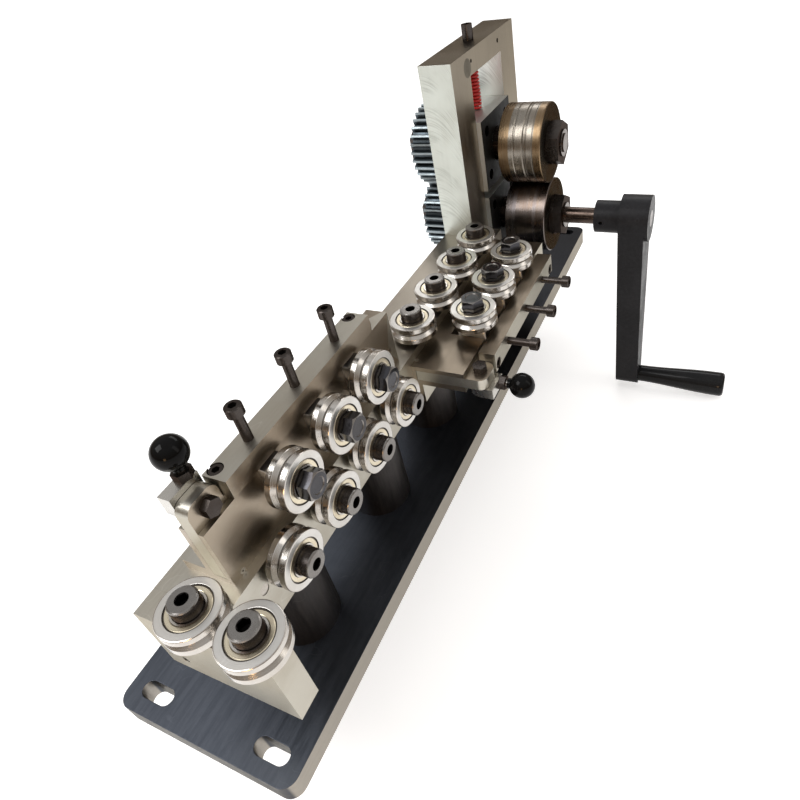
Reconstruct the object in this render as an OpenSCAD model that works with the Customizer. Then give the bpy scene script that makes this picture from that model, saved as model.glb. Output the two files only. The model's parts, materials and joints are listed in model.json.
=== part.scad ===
// Hand-cranked wire straightener with two banks of seven rollers and a geared drive stand.
// Millimetres. X points to the crank, Y along the wire from the entry to the drive, Z up.
// The origin is the middle of the base's underside.

/* [Base] */
// Width of the base plate
base_w = 115; // [100:1:160]
// Length of the base plate
base_len = 550; // [545:1:700]
// Thickness of the base plate
base_t = 14; // [12:1:20]
// Radius of the base plate's upright corners
base_corner_r = 8; // [2:1:12]
// Distance between the slots across the base
slot_spacing_x = 77; // [60:1:85]
// Distance between the slots along the base
slot_spacing_y = 525.4; // [522:0.2:532]
// Length of a slot from end to end
slot_len = 20.5; // [12:0.5:24]
// Width of a slot
slot_w = 9; // [7:0.5:10]

/* [Posts and rail] */
// Diameter of a support post
post_d = 39.5; // [30:0.5:42]
// Height of a support post
post_h = 54; // [40:1:60]
// Place of the near post along the base
post_near_y = -195.6; // [-200:0.1:-180]
// Place of the middle post along the base
post_mid_y = -104.8; // [-120:0.1:-90]
// Place of the far post along the base
post_far_y = -22.7; // [-40:0.1:0]
// Width of the rail
rail_w = 42; // [40:0.5:46]
// Height of the rail
rail_h = 34.4; // [34:0.2:40]
// Middle of the rail across the base
rail_x = 14.3; // [10:0.1:16]
// Near end of the rail
rail_near_y = -242.5; // [-246:0.1:-238]
// Length of the rail's tongue past the near face of the stand
tongue_len = 14; // [6:1:20]
// Thickness of the front block along the rail
block_t = 13; // [11:0.5:16]
// Length of the front block past the rail's right face
block_reach = 33.2; // [30:0.2:40]
// How far the front block hangs below the rail
block_drop = 7.9; // [4:0.1:12]

/* [Rollers] */
// Outer diameter of a straightening roller
roller_d = 29; // [26:0.5:30]
// Width of a roller
roller_w = 11; // [9:0.5:12]
// Clearance between a roller and the face behind it
roller_lift = 2.5; // [1:0.1:3]
// Width of the groove at the rim
groove_w = 4; // [2:0.2:6]
// Depth of the groove
groove_depth = 2; // [1:0.1:3]
// Diameter of the hub that a roller turns on
hub_d = 14; // [12:0.5:16]
// Height of the hub
hub_h = 12; // [11.4:0.1:13]
// Diameter of a roller's screw
roller_screw_d = 8; // [6:0.5:9]
// Diameter of the socket head
cap_head_d = 13.5; // [12:0.1:13.8]
// Height of the socket head
cap_head_h = 8; // [6:0.5:9]
// Width across flats of the moving rollers' hex bolts
hex_af = 13; // [11:0.5:13]
// Height of the hex head
hex_h = 6.9; // [5:0.1:9]
// Distance between the fixed rollers of a bank
roller_pitch = 36.3; // [34:0.1:37]
// Distance of the fixed rollers' axes from the rail's edge
roller_inset = 6.5; // [5.5:0.1:8]
// Height of the moving rollers' axes over that edge at rest
roller_rise = 27.6; // [26:0.1:29]
// Gap between the two entry rollers
entry_gap = 3; // [1:0.1:6]

/* [Banks] */
// Near end of the first bank's plates
top_bank_y = -229.1; // [-232:0.1:-226]
// How far the plates reach past the last fixed roller's axis
plate_tail = 27.1; // [25:0.1:35]
// Gap along the rail between the two banks' plates
bank_gap = 2.1; // [1:0.1:5]
// Height of the cover and back plates
plate_h = 35.4; // [33:0.1:36]
// Distance of the cover plate behind the rail's edge
cover_inset = 5.7; // [3:0.1:6]
// Thickness of the cover plate
cover_t = 3; // [2:0.1:3.5]
// Space for the carriage between the cover and the back plate
carriage_space = 7.4; // [7:0.1:8]
// Thickness of the back plate
back_t = 3.5; // [3:0.1:5]
// Width of the back plate's foot behind the plate
foot_w = 14.4; // [12:0.1:14.8]
// Thickness of the back plate's foot
foot_t = 6; // [4:0.1:8]
// Place of the first fixed roller along the plates
first_roller = 24; // [22:0.1:25]
// Width of the plates' roller slots
slot_gap_w = 12; // [11:0.1:13]
// Height of the slots' closed ends
slot_floor = 12; // [11.5:0.1:12.2]
// Height of the adjusting bar over the rail's edge
bar_z = 38.4; // [38.2:0.1:40]
// Height of the bar itself
bar_h = 10.5; // [8:0.1:14]
// Length of the bar
bar_len = 120; // [118:0.5:124]
// How far the bar stands in front of the cover plate
bar_front = 3; // [1:0.1:3.5]
// Length of the carriage's lobe along the plates
lobe_len = 18; // [16:0.1:18]
// Height of the lobe over the rail's edge
lobe_z = 49.2; // [48:0.1:52]
// Radius of the lobe's corners
lobe_r = 5.5; // [3:0.1:6]
// Lift of a carriage when its lever is turned a quarter turn
carriage_lift = 2.5; // [1.5:0.1:3]
// Height of a roller slide
slide_h = 18.8; // [17:0.1:18.9]
// Diameter of an adjusting screw's shank
adjuster_d = 4.8; // [4:0.1:5.2]
// Diameter of its head
adjuster_head_d = 8.2; // [7:0.1:9]
// Height of its head
adjuster_head_h = 5; // [4:0.1:6]
// Length of bare shank between the bar and the head
adjuster_reach = 14.8; // [10:0.1:18]

/* [Levers] */
// Place of the lever's pivot along the plates
pivot_v = 10; // [9.8:0.1:10.2]
// Height of the pivot over the rail's edge
pivot_t = 42; // [41.8:0.1:42.2]
// Thickness of the cam block
cam_t = 6.9; // [5:0.1:8]
// Distance from the pivot to the cam's closed face
cam_closed = 6.1; // [5.8:0.1:6.2]
// Diameter of the stem
stem_d = 4; // [3:0.1:5]
// Distance of the ball's centre from the pivot
ball_reach = 24.3; // [22:0.1:30]
// Diameter of the ball knob
ball_d = 15.5; // [12:0.1:18]

/* [Drive stand] */
// How far the second bank's plates reach past the stand's near face
stand_lap = 7; // [3:0.5:8]
// Width of the stand along the wire
stand_w = 124.9; // [120:0.1:130]
// Thickness of the stand
stand_t = 24.6; // [22:0.1:26]
// Left face of the stand
stand_left = -7; // [-8:0.1:-6]
// Height of the stand over its window
stand_head = 16.3; // [12:0.1:24]
// Width of the window
window_w = 62.6; // [60:0.1:66]
// Height of the window's floor over the base
window_floor = 51.5; // [50:0.1:52]
// Height of the window
window_h = 146.9; // [140:0.1:150]
// Height of a bearing block
block_h = 54; // [48:0.5:56]
// How far a block stands out of the window on the roll side
block_out = 3.4; // [2:0.1:5]

/* [Rolls, gears and shafts] */
// Distance between the shafts
shaft_gap = 60; // [60:1:60]
// Diameter of the shafts in the bearings
shaft_d = 20; // [16:0.5:22]
// Diameter of the drive rolls
roll_d = 59.6; // [56:0.1:59.7]
// Width of a drive roll
roll_w = 33; // [28:0.1:36]
// Distance of the roll from the bearing block
roll_stand_off = 10.4; // [6:0.1:14]
// Distance between the upper roll's wire grooves
roll_groove_pitch = 7.4; // [6:0.1:8]
// Number of teeth on a gear
gear_teeth = 30; // [30:1:30]
// Width of a gear
gear_w = 25; // [18:0.1:30]
// Distance of the gears from the stand
gear_stand_off = 10; // [8:0.1:14]
// Diameter of the pressure screw
pressure_d = 8; // [6:0.1:10]
// Height of the pressure screw over the stand
pressure_rise = 11; // [8:0.1:20]
// Outer diameter of the pressure spring
spring_d = 10; // [8:0.1:12]
// Diameter of the spring's wire
spring_wire = 1.8; // [1.2:0.1:2]
// Number of the spring's curls
spring_curls = 8; // [5:1:9]

/* [Crank] */
// Diameter of the shaft that carries the crank
crank_shaft_d = 13; // [10:0.5:16]
// Near side of the crank's boss, counted from the roll nut
crank_boss_x = 25.6; // [20:0.1:40]
// Length of the boss
crank_boss_len = 20.1; // [14:0.1:24]
// Diameter of the boss
crank_boss_d = 25.5; // [22:0.1:30]
// Diameter of the hub
crank_hub_d = 36; // [30:0.5:40]
// Length of the hub
crank_hub_len = 22.4; // [18:0.1:26]
// Thickness of the arm
crank_arm_t = 19.6; // [12:0.1:20]
// Crank radius
crank_r = 158.8; // [120:0.1:180]
// Width of the arm's outer end
crank_end_d = 19.4; // [16:0.1:24]
// Length of the grip
grip_len = 73.2; // [60:0.1:90]
// Diameter of the grip at the arm
grip_d = 15; // [14:0.1:18]
// Largest diameter of the grip
grip_big_d = 21.4; // [18:0.1:26]

/* [Hidden] */
// Round surfaces
$fn = 64;
// How far a cut runs past the face that it opens
over = 1;
// Radial clearance of a running fit
run_gap = 0.05;
// Clearance between flat sliding faces
slide_gap = 0.1;
// Gap between pieces that pass each other
pass_gap = 0.3;

// Places that the pieces share
rail_left = rail_x - rail_w / 2;
rail_right = rail_x + rail_w / 2;
rail_z = base_t + post_h;
rail_top = rail_z + rail_h;
wire_x = rail_right + roller_lift + roller_w / 2;
hex_seat = roller_lift + roller_w + pass_gap;
post_places = [post_near_y, post_mid_y, post_far_y];
slot_pitch = roller_pitch;
first_slot = first_roller + roller_pitch / 2;
fixed_count = 4;
moving_count = 3;
plate_len = first_roller + (fixed_count - 1) * roller_pitch + plate_tail;
side_bank_y = top_bank_y + plate_len + bank_gap;
stand_near_y = side_bank_y + plate_len - stand_lap;

// Bank depths, counted along n from the rail's face, and heights, counted along t
cover_back = -cover_inset - cover_t;
back_front = cover_back - carriage_space;
back_rear = back_front - back_t;
adjuster_n = cover_back - carriage_space / 10;
foot_mid = back_rear - foot_w / 2;
ledge_h = 3.1;
end_block_len = 13;
dowel_d = 4;
dowel_t = 20;
bar_v = lobe_len + slide_gap * 4;
bar_screw_inset = 4.6;
bar_screw_d = 4;
bar_screw_head_d = 7.4;
bar_screw_head_h = 4;
carriage_low = ledge_h + pass_gap;
carriage_far = plate_len - end_block_len - pass_gap;

// Slide and adjusting screw
slide_w = slot_gap_w - 2 * slide_gap;
slide_bottom = roller_rise - slide_h / 2 - slide_h / 32;
slide_top = slide_bottom + slide_h;
slide_back = back_front + slide_gap;
button_d = 6.6;
button_h = 2;
lip_h = 2.2;
adjuster_head_t = bar_z + bar_h + adjuster_reach;

// Lever: distances from the pivot, as shares of the way from the closed to the open face
cam_open = cam_closed + carriage_lift;
cam_shares = [0, 0.24, 0.5, 0.74, 1];
cam_step = 90 / (len(cam_shares) - 1);
cam_far = 8;
cam_top = pivot_v + pass_gap;
cam_n = back_front - slide_gap;
cam_end_n = cam_n - cam_t;
stem_v = 4;
jam_af = 8;
jam_h = 4;
pivot_d = 5;
pivot_af = 8;
pivot_head_h = 4;
pivot_nut_d = 10;
pivot_nut_h = 3;

// Screws out of sight
foot_screw_d = 6;
foot_screw_head_d = 10;
foot_screw_head_h = 6;
foot_screw_depth = 10;
foot_screw_inset = 22;
post_screw_d = 10;
post_screw_head_d = 16;
post_screw_head_h = 8;
post_screw_depth = 14;
roller_screw_depth = 12;
plug_d = 5.5;
plug_depth = 6;
plug_v = 7.6;
plug_drop = 12.5;
dowel_depth = 8;
front_dowel_x = 12;
front_hole_d = 4;
front_hole_x = 13;
front_hole_z = 9.3;

// Stand, blocks and shafts
stand_right = stand_left + stand_t;
stand_mid_x = stand_left + stand_t / 2;
drive_y = stand_near_y + stand_w / 2;
stand_h = window_floor + window_h + stand_head;
stand_top = base_t + stand_h;
window_z = base_t + window_floor;
window_top = window_z + window_h;
block_w = window_w - 2 * slide_gap;
block_right = stand_right + block_out;
flange_t = 3;
flange_reach = 4;
flange_left = stand_left - slide_gap - flange_t;
block_hole_d = 8;
block_hole_depth = 8;
block_hole_y = 20.7;
block_hole_z = 17;
bush_d = 28;
lower_z = window_z + block_h / 2;
upper_z = lower_z + shaft_gap;
roll_x = block_right + roll_stand_off;
roll_end = roll_x + roll_w;
shoulder_d = 26;
washer_d = 32;
washer_t = 2.5;
nut_af = 30;
nut_h = 7;
nut_end = roll_end + washer_t + nut_h;
gear_right = stand_left - gear_stand_off;
gear_left = gear_right - gear_w;
gear_nut_af = 30;
gear_nut_h = 6;
tail_len = 2;

// Gear teeth
module_size = shaft_gap / gear_teeth;
pitch_r = shaft_gap / 2;
root_r = pitch_r - 1.25 * module_size;
tip_r = pitch_r + module_size;
pressure_angle = 20;
backlash = module_size / 12;
flank_steps = 4;

// Pressure screw, seat and spring
seat_d = 11.6;
seat_h = 3.8;
seat_room = 5;
seat_pocket = 2;
pin_d = 5;
pin_h = 4;
spring_gap = 0.2;
spring_x = stand_mid_x;
seat_z = window_top + spring_gap;
block_top = window_z + block_h + shaft_gap;
spring_low = block_top + spring_gap;
spring_high = window_top;
spring_rings = 8;
spring_sides = 6;

// Crank
boss_x = nut_end + crank_boss_x;
hub_x = boss_x + crank_boss_len;
arm_out = hub_x + crank_arm_t;
set_screw_x = boss_x + 0.28 * crank_boss_len;
set_screw_d = 6;
spindle_d = 8;
spindle_head_d = 12;
spindle_head_h = 4;
spindle_seat = 6;
grip_x = arm_out + pass_gap;
edge_r = 1.5;
arm_step = 0.6;

// Turns a piece so that its Z axis lies along X
module along_x() rotate([0, 90, 0]) children();

// The first bank stands on the rail: n is X and t is Z. A bank's x, y, z are n, v, t.
module on_top() translate([rail_right, top_bank_y, rail_top]) children();

// The second bank lies on the rail's side: n is Z and t is X
module on_side() translate([rail_right, side_bank_y, rail_top]) mirror([1, 0, -1]) children();

// A bore along Z from z = 0 down to -depth, open at the top
module blind(d, depth) translate([0, 0, -depth]) cylinder(d = d, h = depth + over);

// A hole right through a plate of thickness t that starts at z = 0
module through(d, t) translate([0, 0, -over]) cylinder(d = d, h = t + 2 * over);

// A hexagonal prism with its flats af apart
module hexagon(af, h) cylinder(d = af / cos(30), h = h, $fn = 6);

// A socket-head screw: the head stands on z = 0 and the shank goes down
module cap_screw(d, head_d, head_h, shank) {
    edge = head_d / 16;
    difference() {
        union() {
            rotate_extrude() polygon([
                [0, 0], [head_d / 2, 0], [head_d / 2, head_h - edge], [head_d / 2 - edge, head_h], [0, head_h]
            ]);
            translate([0, 0, -shank]) cylinder(d = d, h = shank + head_h / 2);
        }
        translate([0, 0, head_h * 0.45]) hexagon(head_d * 0.45, head_h);
    }
}

// A countersunk screw, flush with z = 0
module flush_screw(d, shank) difference() {
    rotate_extrude() polygon([[0, 0], [d, 0], [d / 2, -d / 2], [d / 2, -shank], [0, -shank]]);
    translate([0, 0, -d * 0.4]) hexagon(d * 0.6, d);
}

// The cut that a countersunk screw's head needs
module flush_cut(d, t) {
    rotate_extrude() polygon([[0, 0], [d, 0], [d / 2, -d / 2], [0, -d / 2]]);
    translate([0, 0, -t - over]) cylinder(d = d + 2 * run_gap, h = t + 2 * over);
}

// A grooved roller on its own axis, standing clear of the face at z = 0
module roller() {
    r = roller_d / 2;
    bore = hub_d / 2 + run_gap;
    ring = bore + (r - bore) * 0.36;
    sunk = roller_w * 0.05;
    edge = roller_w * 0.06;
    low = roller_lift;
    mid = low + roller_w / 2;
    high = low + roller_w;
    color("silver") rotate_extrude($fn = 96) polygon([
        [bore, low + sunk], [ring, low + sunk], [ring, low], [r - edge, low], [r, low + edge],
        [r, mid - groove_w / 2], [r - groove_depth, mid], [r, mid + groove_w / 2],
        [r, high - edge], [r - edge, high], [ring, high], [ring, high - sunk], [bore, high - sunk]
    ]);
}

// The hub that a roller turns on, with a collar that keeps the roller off the face
module hub() rotate_extrude() polygon([
    [roller_screw_d / 2 + run_gap, 0], [hub_d / 2 + hub_d / 10, 0],
    [hub_d / 2 + hub_d / 10, roller_lift - pass_gap], [hub_d / 2, roller_lift - pass_gap],
    [hub_d / 2, hub_h], [roller_screw_d / 2 + run_gap, hub_h]
]);

// Puts a child at each fixed roller of a bank, with its Z along the roller's axis
module each_fixed() for (i = [0 : fixed_count - 1]) fixed_place(i) children();
module fixed_place(i) translate([0, first_roller + i * roller_pitch, -roller_inset]) along_x() children();

// Puts a child at one moving roller of a bank
module moving_place(i) translate([0, first_slot + i * slot_pitch, roller_rise]) along_x() children();

// Places of the entry rollers on the front block
module entry_place(side)
    translate([wire_x + side * (roller_d + entry_gap) / 2, rail_near_y - block_t / 2, rail_top]) children();

// Places of the screws in a bank's foot
foot_screw_places = [foot_screw_inset, plate_len / 2, plate_len - foot_screw_inset];
module each_foot_screw() for (v = foot_screw_places) translate([foot_mid, v, foot_t]) children();

module base_plate() color("#20242b") difference() {
    linear_extrude(base_t) base_outline();
    for (x = [-1, 1], y = [-1, 1])
        translate([x * slot_spacing_x / 2, y * slot_spacing_y / 2, -over])
            linear_extrude(base_t + 2 * over) slot_outline();
    each_base_screw() {
        through(post_screw_d + 2 * run_gap, base_t);
        translate([0, 0, -over])
            cylinder(d = post_screw_head_d + 2 * pass_gap, h = post_screw_head_h + pass_gap + over);
    }
}

// The base's outline, four straight edges and four arcs
module base_outline() {
    square([base_w - 2 * base_corner_r, base_len], center = true);
    square([base_w, base_len - 2 * base_corner_r], center = true);
    for (x = [-1, 1], y = [-1, 1])
        translate([x * (base_w / 2 - base_corner_r), y * (base_len / 2 - base_corner_r)])
            circle(r = base_corner_r);
}

// A slot with round ends
module slot_outline() {
    run = slot_len - slot_w;
    square([run, slot_w], center = true);
    for (x = [-1, 1]) translate([x * run / 2, 0]) circle(d = slot_w);
}

// Puts the children at every screw that comes up through the base
module each_base_screw() {
    for (y = post_places) translate([rail_x, y, 0]) children();
    for (y = [-1, 1]) translate([stand_mid_x, drive_y + y * stand_w / 3, 0]) children();
}

module support_posts() color("#2b2a2b") for (y = post_places)
    translate([rail_x, y, base_t]) difference() {
        cylinder(d = post_d, h = post_h, $fn = 96);
        through(post_screw_d + 2 * run_gap, post_h);
    }

module rail() color("#b8b2a6") difference() {
    union() {
        translate([rail_left, rail_near_y, rail_z]) cube([rail_w, stand_near_y - rail_near_y, rail_h]);
        translate([stand_right + slide_gap, stand_near_y - over, rail_z])
            cube([rail_right - stand_right - slide_gap, tongue_len + over, rail_h]);
    }
    on_top() rail_bank_holes();
    on_side() rail_bank_holes();
    for (y = post_places) translate([rail_x, y, rail_z - over])
        cylinder(d = post_screw_d + 2 * run_gap, h = post_screw_depth + pass_gap + over);
    plug_place() rotate([0, 90, 0]) blind(plug_d, plug_depth);
    each_front_dowel() rotate([90, 0, 0]) blind(dowel_d * 2 + 2 * run_gap, dowel_depth);
}

// What a bank needs in the rail: holes for its fixed rollers and for its foot
module rail_bank_holes() {
    each_fixed() blind(roller_screw_d + 2 * run_gap, roller_screw_depth + pass_gap);
    each_foot_screw() translate([0, 0, -foot_t])
        blind(foot_screw_d + 2 * run_gap, foot_screw_depth + pass_gap);
}

module plug_place() translate([rail_right, top_bank_y + plug_v, rail_top - plug_drop]) children();

// Two dowels join the front block to the rail
module each_front_dowel() for (x = [-1, 1])
    translate([rail_x + x * front_dowel_x, rail_near_y, rail_z + rail_h / 2]) children();

module front_block() color("#9d9a92") difference() {
    translate([rail_left, rail_near_y - block_t, rail_z - block_drop])
        cube([rail_w + block_reach, block_t, rail_h + block_drop]);
    for (side = [-1, 1]) entry_place(side) blind(roller_screw_d + 2 * run_gap, roller_screw_depth + pass_gap);
    each_front_dowel() rotate([-90, 0, 0]) blind(dowel_d * 2 + 2 * run_gap, dowel_depth);
    translate([rail_left + front_hole_x, rail_near_y - block_t, rail_z - block_drop + front_hole_z])
        rotate([90, 0, 0]) blind(front_hole_d, front_hole_d);
}

module drive_frame() color("#a9a79f") difference() {
    translate([stand_left, stand_near_y, base_t]) cube([stand_t, stand_w, stand_h]);
    translate([stand_left - over, drive_y - window_w / 2, window_z])
        cube([stand_t + 2 * over, window_w, window_h]);
    translate([spring_x, drive_y, window_top - over]) {
        cylinder(d = seat_d + 2 * run_gap, h = seat_room + over);
        cylinder(d = pressure_d + 2 * run_gap, h = stand_h);
    }
    for (y = [-1, 1]) translate([stand_mid_x, drive_y + y * stand_w / 3, base_t - over])
        cylinder(d = post_screw_d + 2 * run_gap, h = post_screw_depth + pass_gap + over);
}

// The plate that carries a shaft: it fills the window and hooks behind it with a flange
module bearing_block(z) color("#33312f") translate([0, drive_y, z]) difference() {
    union() {
        translate([flange_left, -block_w / 2, -block_h / 2])
            cube([block_right - flange_left, block_w, block_h]);
        translate([flange_left, -block_w / 2 - flange_reach, -block_h / 2])
            cube([flange_t, block_w + 2 * flange_reach, block_h]);
    }
    translate([flange_left, 0, 0]) along_x() through(bush_d, block_right - flange_left);
    for (y = [-1, 1], s = [-1, 1]) translate([block_right, y * block_hole_y, s * block_hole_z])
        along_x() blind(block_hole_d, block_hole_depth);
}

// The bush inside a bearing block
module bush(z) color("#b08d57") translate([flange_left, drive_y, z]) along_x() difference() {
    cylinder(d = bush_d - 2 * run_gap, h = block_right - flange_left);
    through(shaft_d + 2 * run_gap, block_right - flange_left);
}

module lower_bearing_block() {
    bearing_block(lower_z);
    bush(lower_z);
}

module upper_bearing_block() {
    difference() {
        bearing_block(upper_z);
        translate([spring_x, drive_y, block_top]) blind(pin_d + 2 * run_gap, pin_h);
    }
    bush(upper_z);
    color("silver") translate([spring_x, drive_y, block_top - pin_h]) cylinder(d = pin_d, h = 2 * pin_h);
}

module base_screws() color("#2a2724") {
    for (y = post_places) translate([rail_x, y, 0]) base_screw(post_h + post_screw_depth);
    for (y = [-1, 1]) translate([stand_mid_x, drive_y + y * stand_w / 3, 0]) base_screw(post_screw_depth);
}

// A screw with its head sunk in the base's underside; reach is its length above the base
module base_screw(reach) translate([0, 0, post_screw_head_h + pass_gap]) mirror([0, 0, 1])
    cap_screw(post_screw_d, post_screw_head_d, post_screw_head_h,
        base_t - post_screw_head_h - pass_gap + reach);

module rail_screws() color("#2a2724") {
    on_top() bank_screws();
    on_side() bank_screws();
    plug_place() along_x() translate([0, 0, -plug_depth])
        cylinder(d = plug_d - 2 * run_gap, h = plug_depth - pass_gap);
    each_front_dowel() rotate([90, 0, 0])
        translate([0, 0, -dowel_depth + pass_gap])
            cylinder(d = dowel_d * 2, h = 2 * (dowel_depth - pass_gap));
}

// A bank's fixed screws: three in the foot and the cover plate's two
module bank_screws() {
    each_foot_screw()
        cap_screw(foot_screw_d, foot_screw_head_d, foot_screw_head_h, foot_t + foot_screw_depth);
    each_cover_screw() flush_screw(cover_screw_d(), cover_screw_d() * 2);
}

// The cover's screws: one in the end block and one in the ledge, with Z out of the cover's face
module each_cover_screw() for (v = [end_block_len / 2, plate_len - end_block_len / 2])
    translate([-cover_inset, v, v < plate_len / 2 ? ledge_h / 2 : slot_floor]) along_x() children();
function cover_screw_d() = ledge_h / 2;

module roller_cap_screws() color("#2a2724") {
    for (side = [-1, 1]) entry_place(side) roller_screw();
    on_top() each_fixed() roller_screw();
    on_side() each_fixed() roller_screw();
}
module roller_screw() translate([0, 0, hub_h])
    cap_screw(roller_screw_d, cap_head_d, cap_head_h, hub_h + roller_screw_depth);

module roller_hubs() color("#d8d8d6") {
    for (side = [-1, 1]) entry_place(side) hub();
    on_top() each_fixed() hub();
    on_side() each_fixed() hub();
}

module back_plates() color("#a8a297") {
    on_top() back_plate();
    on_side() back_plate();
}

// A bank's back: plate, foot and ledge from one outline, an end block and two dowels
module back_plate() {
    difference() {
        union() {
            translate([0, plate_len, 0]) rotate([90, 0, 0]) linear_extrude(plate_len) polygon([
                [cover_back, 0], [cover_back, ledge_h], [back_front, ledge_h], [back_front, plate_h],
                [back_rear, plate_h], [back_rear, foot_t],
                [back_rear - foot_w, foot_t], [back_rear - foot_w, 0]
            ]);
            translate([back_front - over, plate_len - end_block_len, 0])
                cube([carriage_space + over, end_block_len, plate_h]);
            for (i = [0 : moving_count - 2]) guide_place(i)
                translate([0, 0, -over]) cylinder(d = dowel_d, h = carriage_space + over - pass_gap);
        }
        each_foot_screw() translate([0, 0, -foot_t]) through(foot_screw_d + 2 * run_gap, foot_t);
        each_cover_screw() blind(cover_screw_d() + 2 * run_gap, cover_screw_d() * 2 + pass_gap);
    }
}

// Places of the guide dowels, between the slots, with Z out of the back plate's face
module guide_place(i)
    translate([back_front, first_slot + (i + 0.5) * slot_pitch, dowel_t]) along_x() children();

module cover_plates() color("#b5ad9c") {
    on_top() cover_plate();
    on_side() cover_plate();
}

// A slotted cover, drawn in v and t and extruded along n
module cover_plate() difference() {
    translate([cover_back, 0, 0]) cube([cover_t, plate_len, plate_h]);
    each_slot(cover_back, cover_t, plate_h);
    each_cover_screw() flush_cut(cover_screw_d(), cover_t);
}

// The roller slots of a plate that starts at n and is t thick, up to the given height
module each_slot(n, t, top) for (i = [0 : moving_count - 1])
    translate([n - over, first_slot + i * slot_pitch - slot_gap_w / 2, slot_floor])
        cube([t + 2 * over, slot_gap_w, top - slot_floor + over]);

// A carriage: the windowed plate, its rounded lobe and the bar on its edge
module carriage() color("#aaa293") difference() {
    union() {
        translate([back_front + slide_gap, 0, 0]) rotate([90, 0, 90])
            linear_extrude(carriage_space - 2 * slide_gap)
            difference() {
                union() {
                    translate([0, carriage_low]) square([carriage_far, bar_z - carriage_low]);
                    lobe_outline();
                }
                for (i = [0 : moving_count - 1])
                    translate([first_slot + i * slot_pitch - slot_gap_w / 2, slot_floor])
                        square([slot_gap_w, bar_z - slot_floor]);
                for (i = [0 : moving_count - 2]) translate([first_slot + (i + 0.5) * slot_pitch, dowel_t])
                    guide_slot_outline();
            }
        translate([back_front + slide_gap, bar_v, bar_z])
            cube([bar_front - cover_inset - back_front - slide_gap, bar_len, bar_h]);
    }
    for (i = [0 : moving_count - 1]) translate([adjuster_n, first_slot + i * slot_pitch, bar_z])
        through(adjuster_d + 2 * run_gap, bar_h);
    each_bar_screw() {
        blind(bar_screw_head_d + 2 * run_gap, bar_screw_head_h + pass_gap);
        blind(bar_screw_d + 2 * run_gap, bar_h + bar_screw_d * 1.5);
    }
    translate([back_front, pivot_v, pivot_t]) along_x() through(pivot_d + 2 * run_gap, carriage_space);
}

// The lobe: its top corners are arcs
module lobe_outline() {
    translate([0, carriage_low]) square([lobe_len, lobe_z - lobe_r - carriage_low]);
    translate([lobe_r, carriage_low]) square([lobe_len - 2 * lobe_r, lobe_z - carriage_low]);
    for (v = [lobe_r, lobe_len - lobe_r]) translate([v, lobe_z - lobe_r]) circle(r = lobe_r);
}

// An upright slot that lets the carriage rise past a guide dowel
module guide_slot_outline() {
    d = dowel_d + 2 * slide_gap;
    translate([-d / 2, -carriage_lift - pass_gap]) square([d, carriage_lift + 2 * pass_gap]);
    for (t = [-carriage_lift - pass_gap, pass_gap]) translate([0, t]) circle(d = d);
}

// The bar's two screws, from above
module each_bar_screw() for (v = [bar_v + bar_screw_inset, bar_v + bar_len - bar_screw_inset])
    translate([(cover_back + back_front) / 2 + slide_gap, v, bar_z + bar_h]) children();

// The bar's screws and the lever's pivot bolt with its nut
module carriage_screws() {
    color("#2a2724") each_bar_screw() translate([0, 0, -bar_screw_head_h - pass_gap])
        cap_screw(bar_screw_d, bar_screw_head_d, bar_screw_head_h, bar_h);
    color("#2a2724") translate([cover_back - slide_gap, pivot_v, pivot_t]) along_x() {
        hexagon(pivot_af, pivot_head_h);
        translate([0, 0, cam_end_n - cover_back + slide_gap - pivot_nut_h])
            cylinder(d = pivot_d, h = cover_back - slide_gap - cam_end_n + pivot_nut_h + over);
    }
    color("silver") translate([cam_end_n - slide_gap - pivot_nut_h, pivot_v, pivot_t]) along_x()
        difference() {
            cylinder(d = pivot_nut_d, h = pivot_nut_h);
            through(pivot_d + 2 * run_gap, pivot_nut_h);
        }
}

module vertical_carriage() on_top() carriage();
module side_carriage() on_side() carriage();
module vertical_carriage_screws() on_top() carriage_screws();
module side_carriage_screws() on_side() carriage_screws();

// A point at distance r from the pivot, on the cam's lower near quarter; a is 0 straight down
function cam_point(r, a) = [-r * sin(a), -r * cos(a)];

// The cam block: a quarter of it is the polygon that lifts the carriage
module cam_outline() polygon(concat(
    [[cam_far, cam_top], [cam_far, -cam_closed]],
    [for (k = [0 : len(cam_shares) - 1])
        cam_point(cam_closed + cam_shares[k] * carriage_lift, k * cam_step)],
    [[-cam_open, cam_top]]
));

// A lever: the cam block with its stem and jam nut
module lever() translate([0, pivot_v, pivot_t]) {
    stem_n = cam_n - cam_t / 2;
    color("silver") difference() {
        translate([cam_end_n, 0, 0]) rotate([90, 0, 90]) linear_extrude(cam_t) cam_outline();
        translate([cam_end_n, 0, 0]) along_x() through(pivot_d + 2 * run_gap, cam_t);
        translate([stem_n, stem_v, cam_top]) blind(stem_d, stem_d);
    }
    color("#c8c9cc") translate([stem_n, stem_v, cam_top - stem_d])
        cylinder(d = stem_d - 2 * run_gap, h = ball_reach - cam_top + stem_d);
    color("#2f2e33") translate([stem_n, stem_v, cam_top]) difference() {
        hexagon(jam_af, jam_h);
        through(stem_d, jam_h);
    }
}

// A ball knob with its flat foot on the stem
module knob() color("#101012") translate([cam_n - cam_t / 2, pivot_v + stem_v, pivot_t + ball_reach])
    difference() {
        union() {
            sphere(d = ball_d, $fn = 48);
            translate([0, 0, -ball_d / 2 - stem_d / 4]) cylinder(d = stem_d * 1.6, h = ball_d / 2);
        }
        translate([0, 0, -ball_d]) cylinder(d = stem_d + 2 * run_gap, h = ball_d + stem_d / 2);
    }

module vertical_lever() on_top() lever();
module side_lever() on_side() lever();
module vertical_knob() on_top() knob();
module side_knob() on_side() knob();

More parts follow.
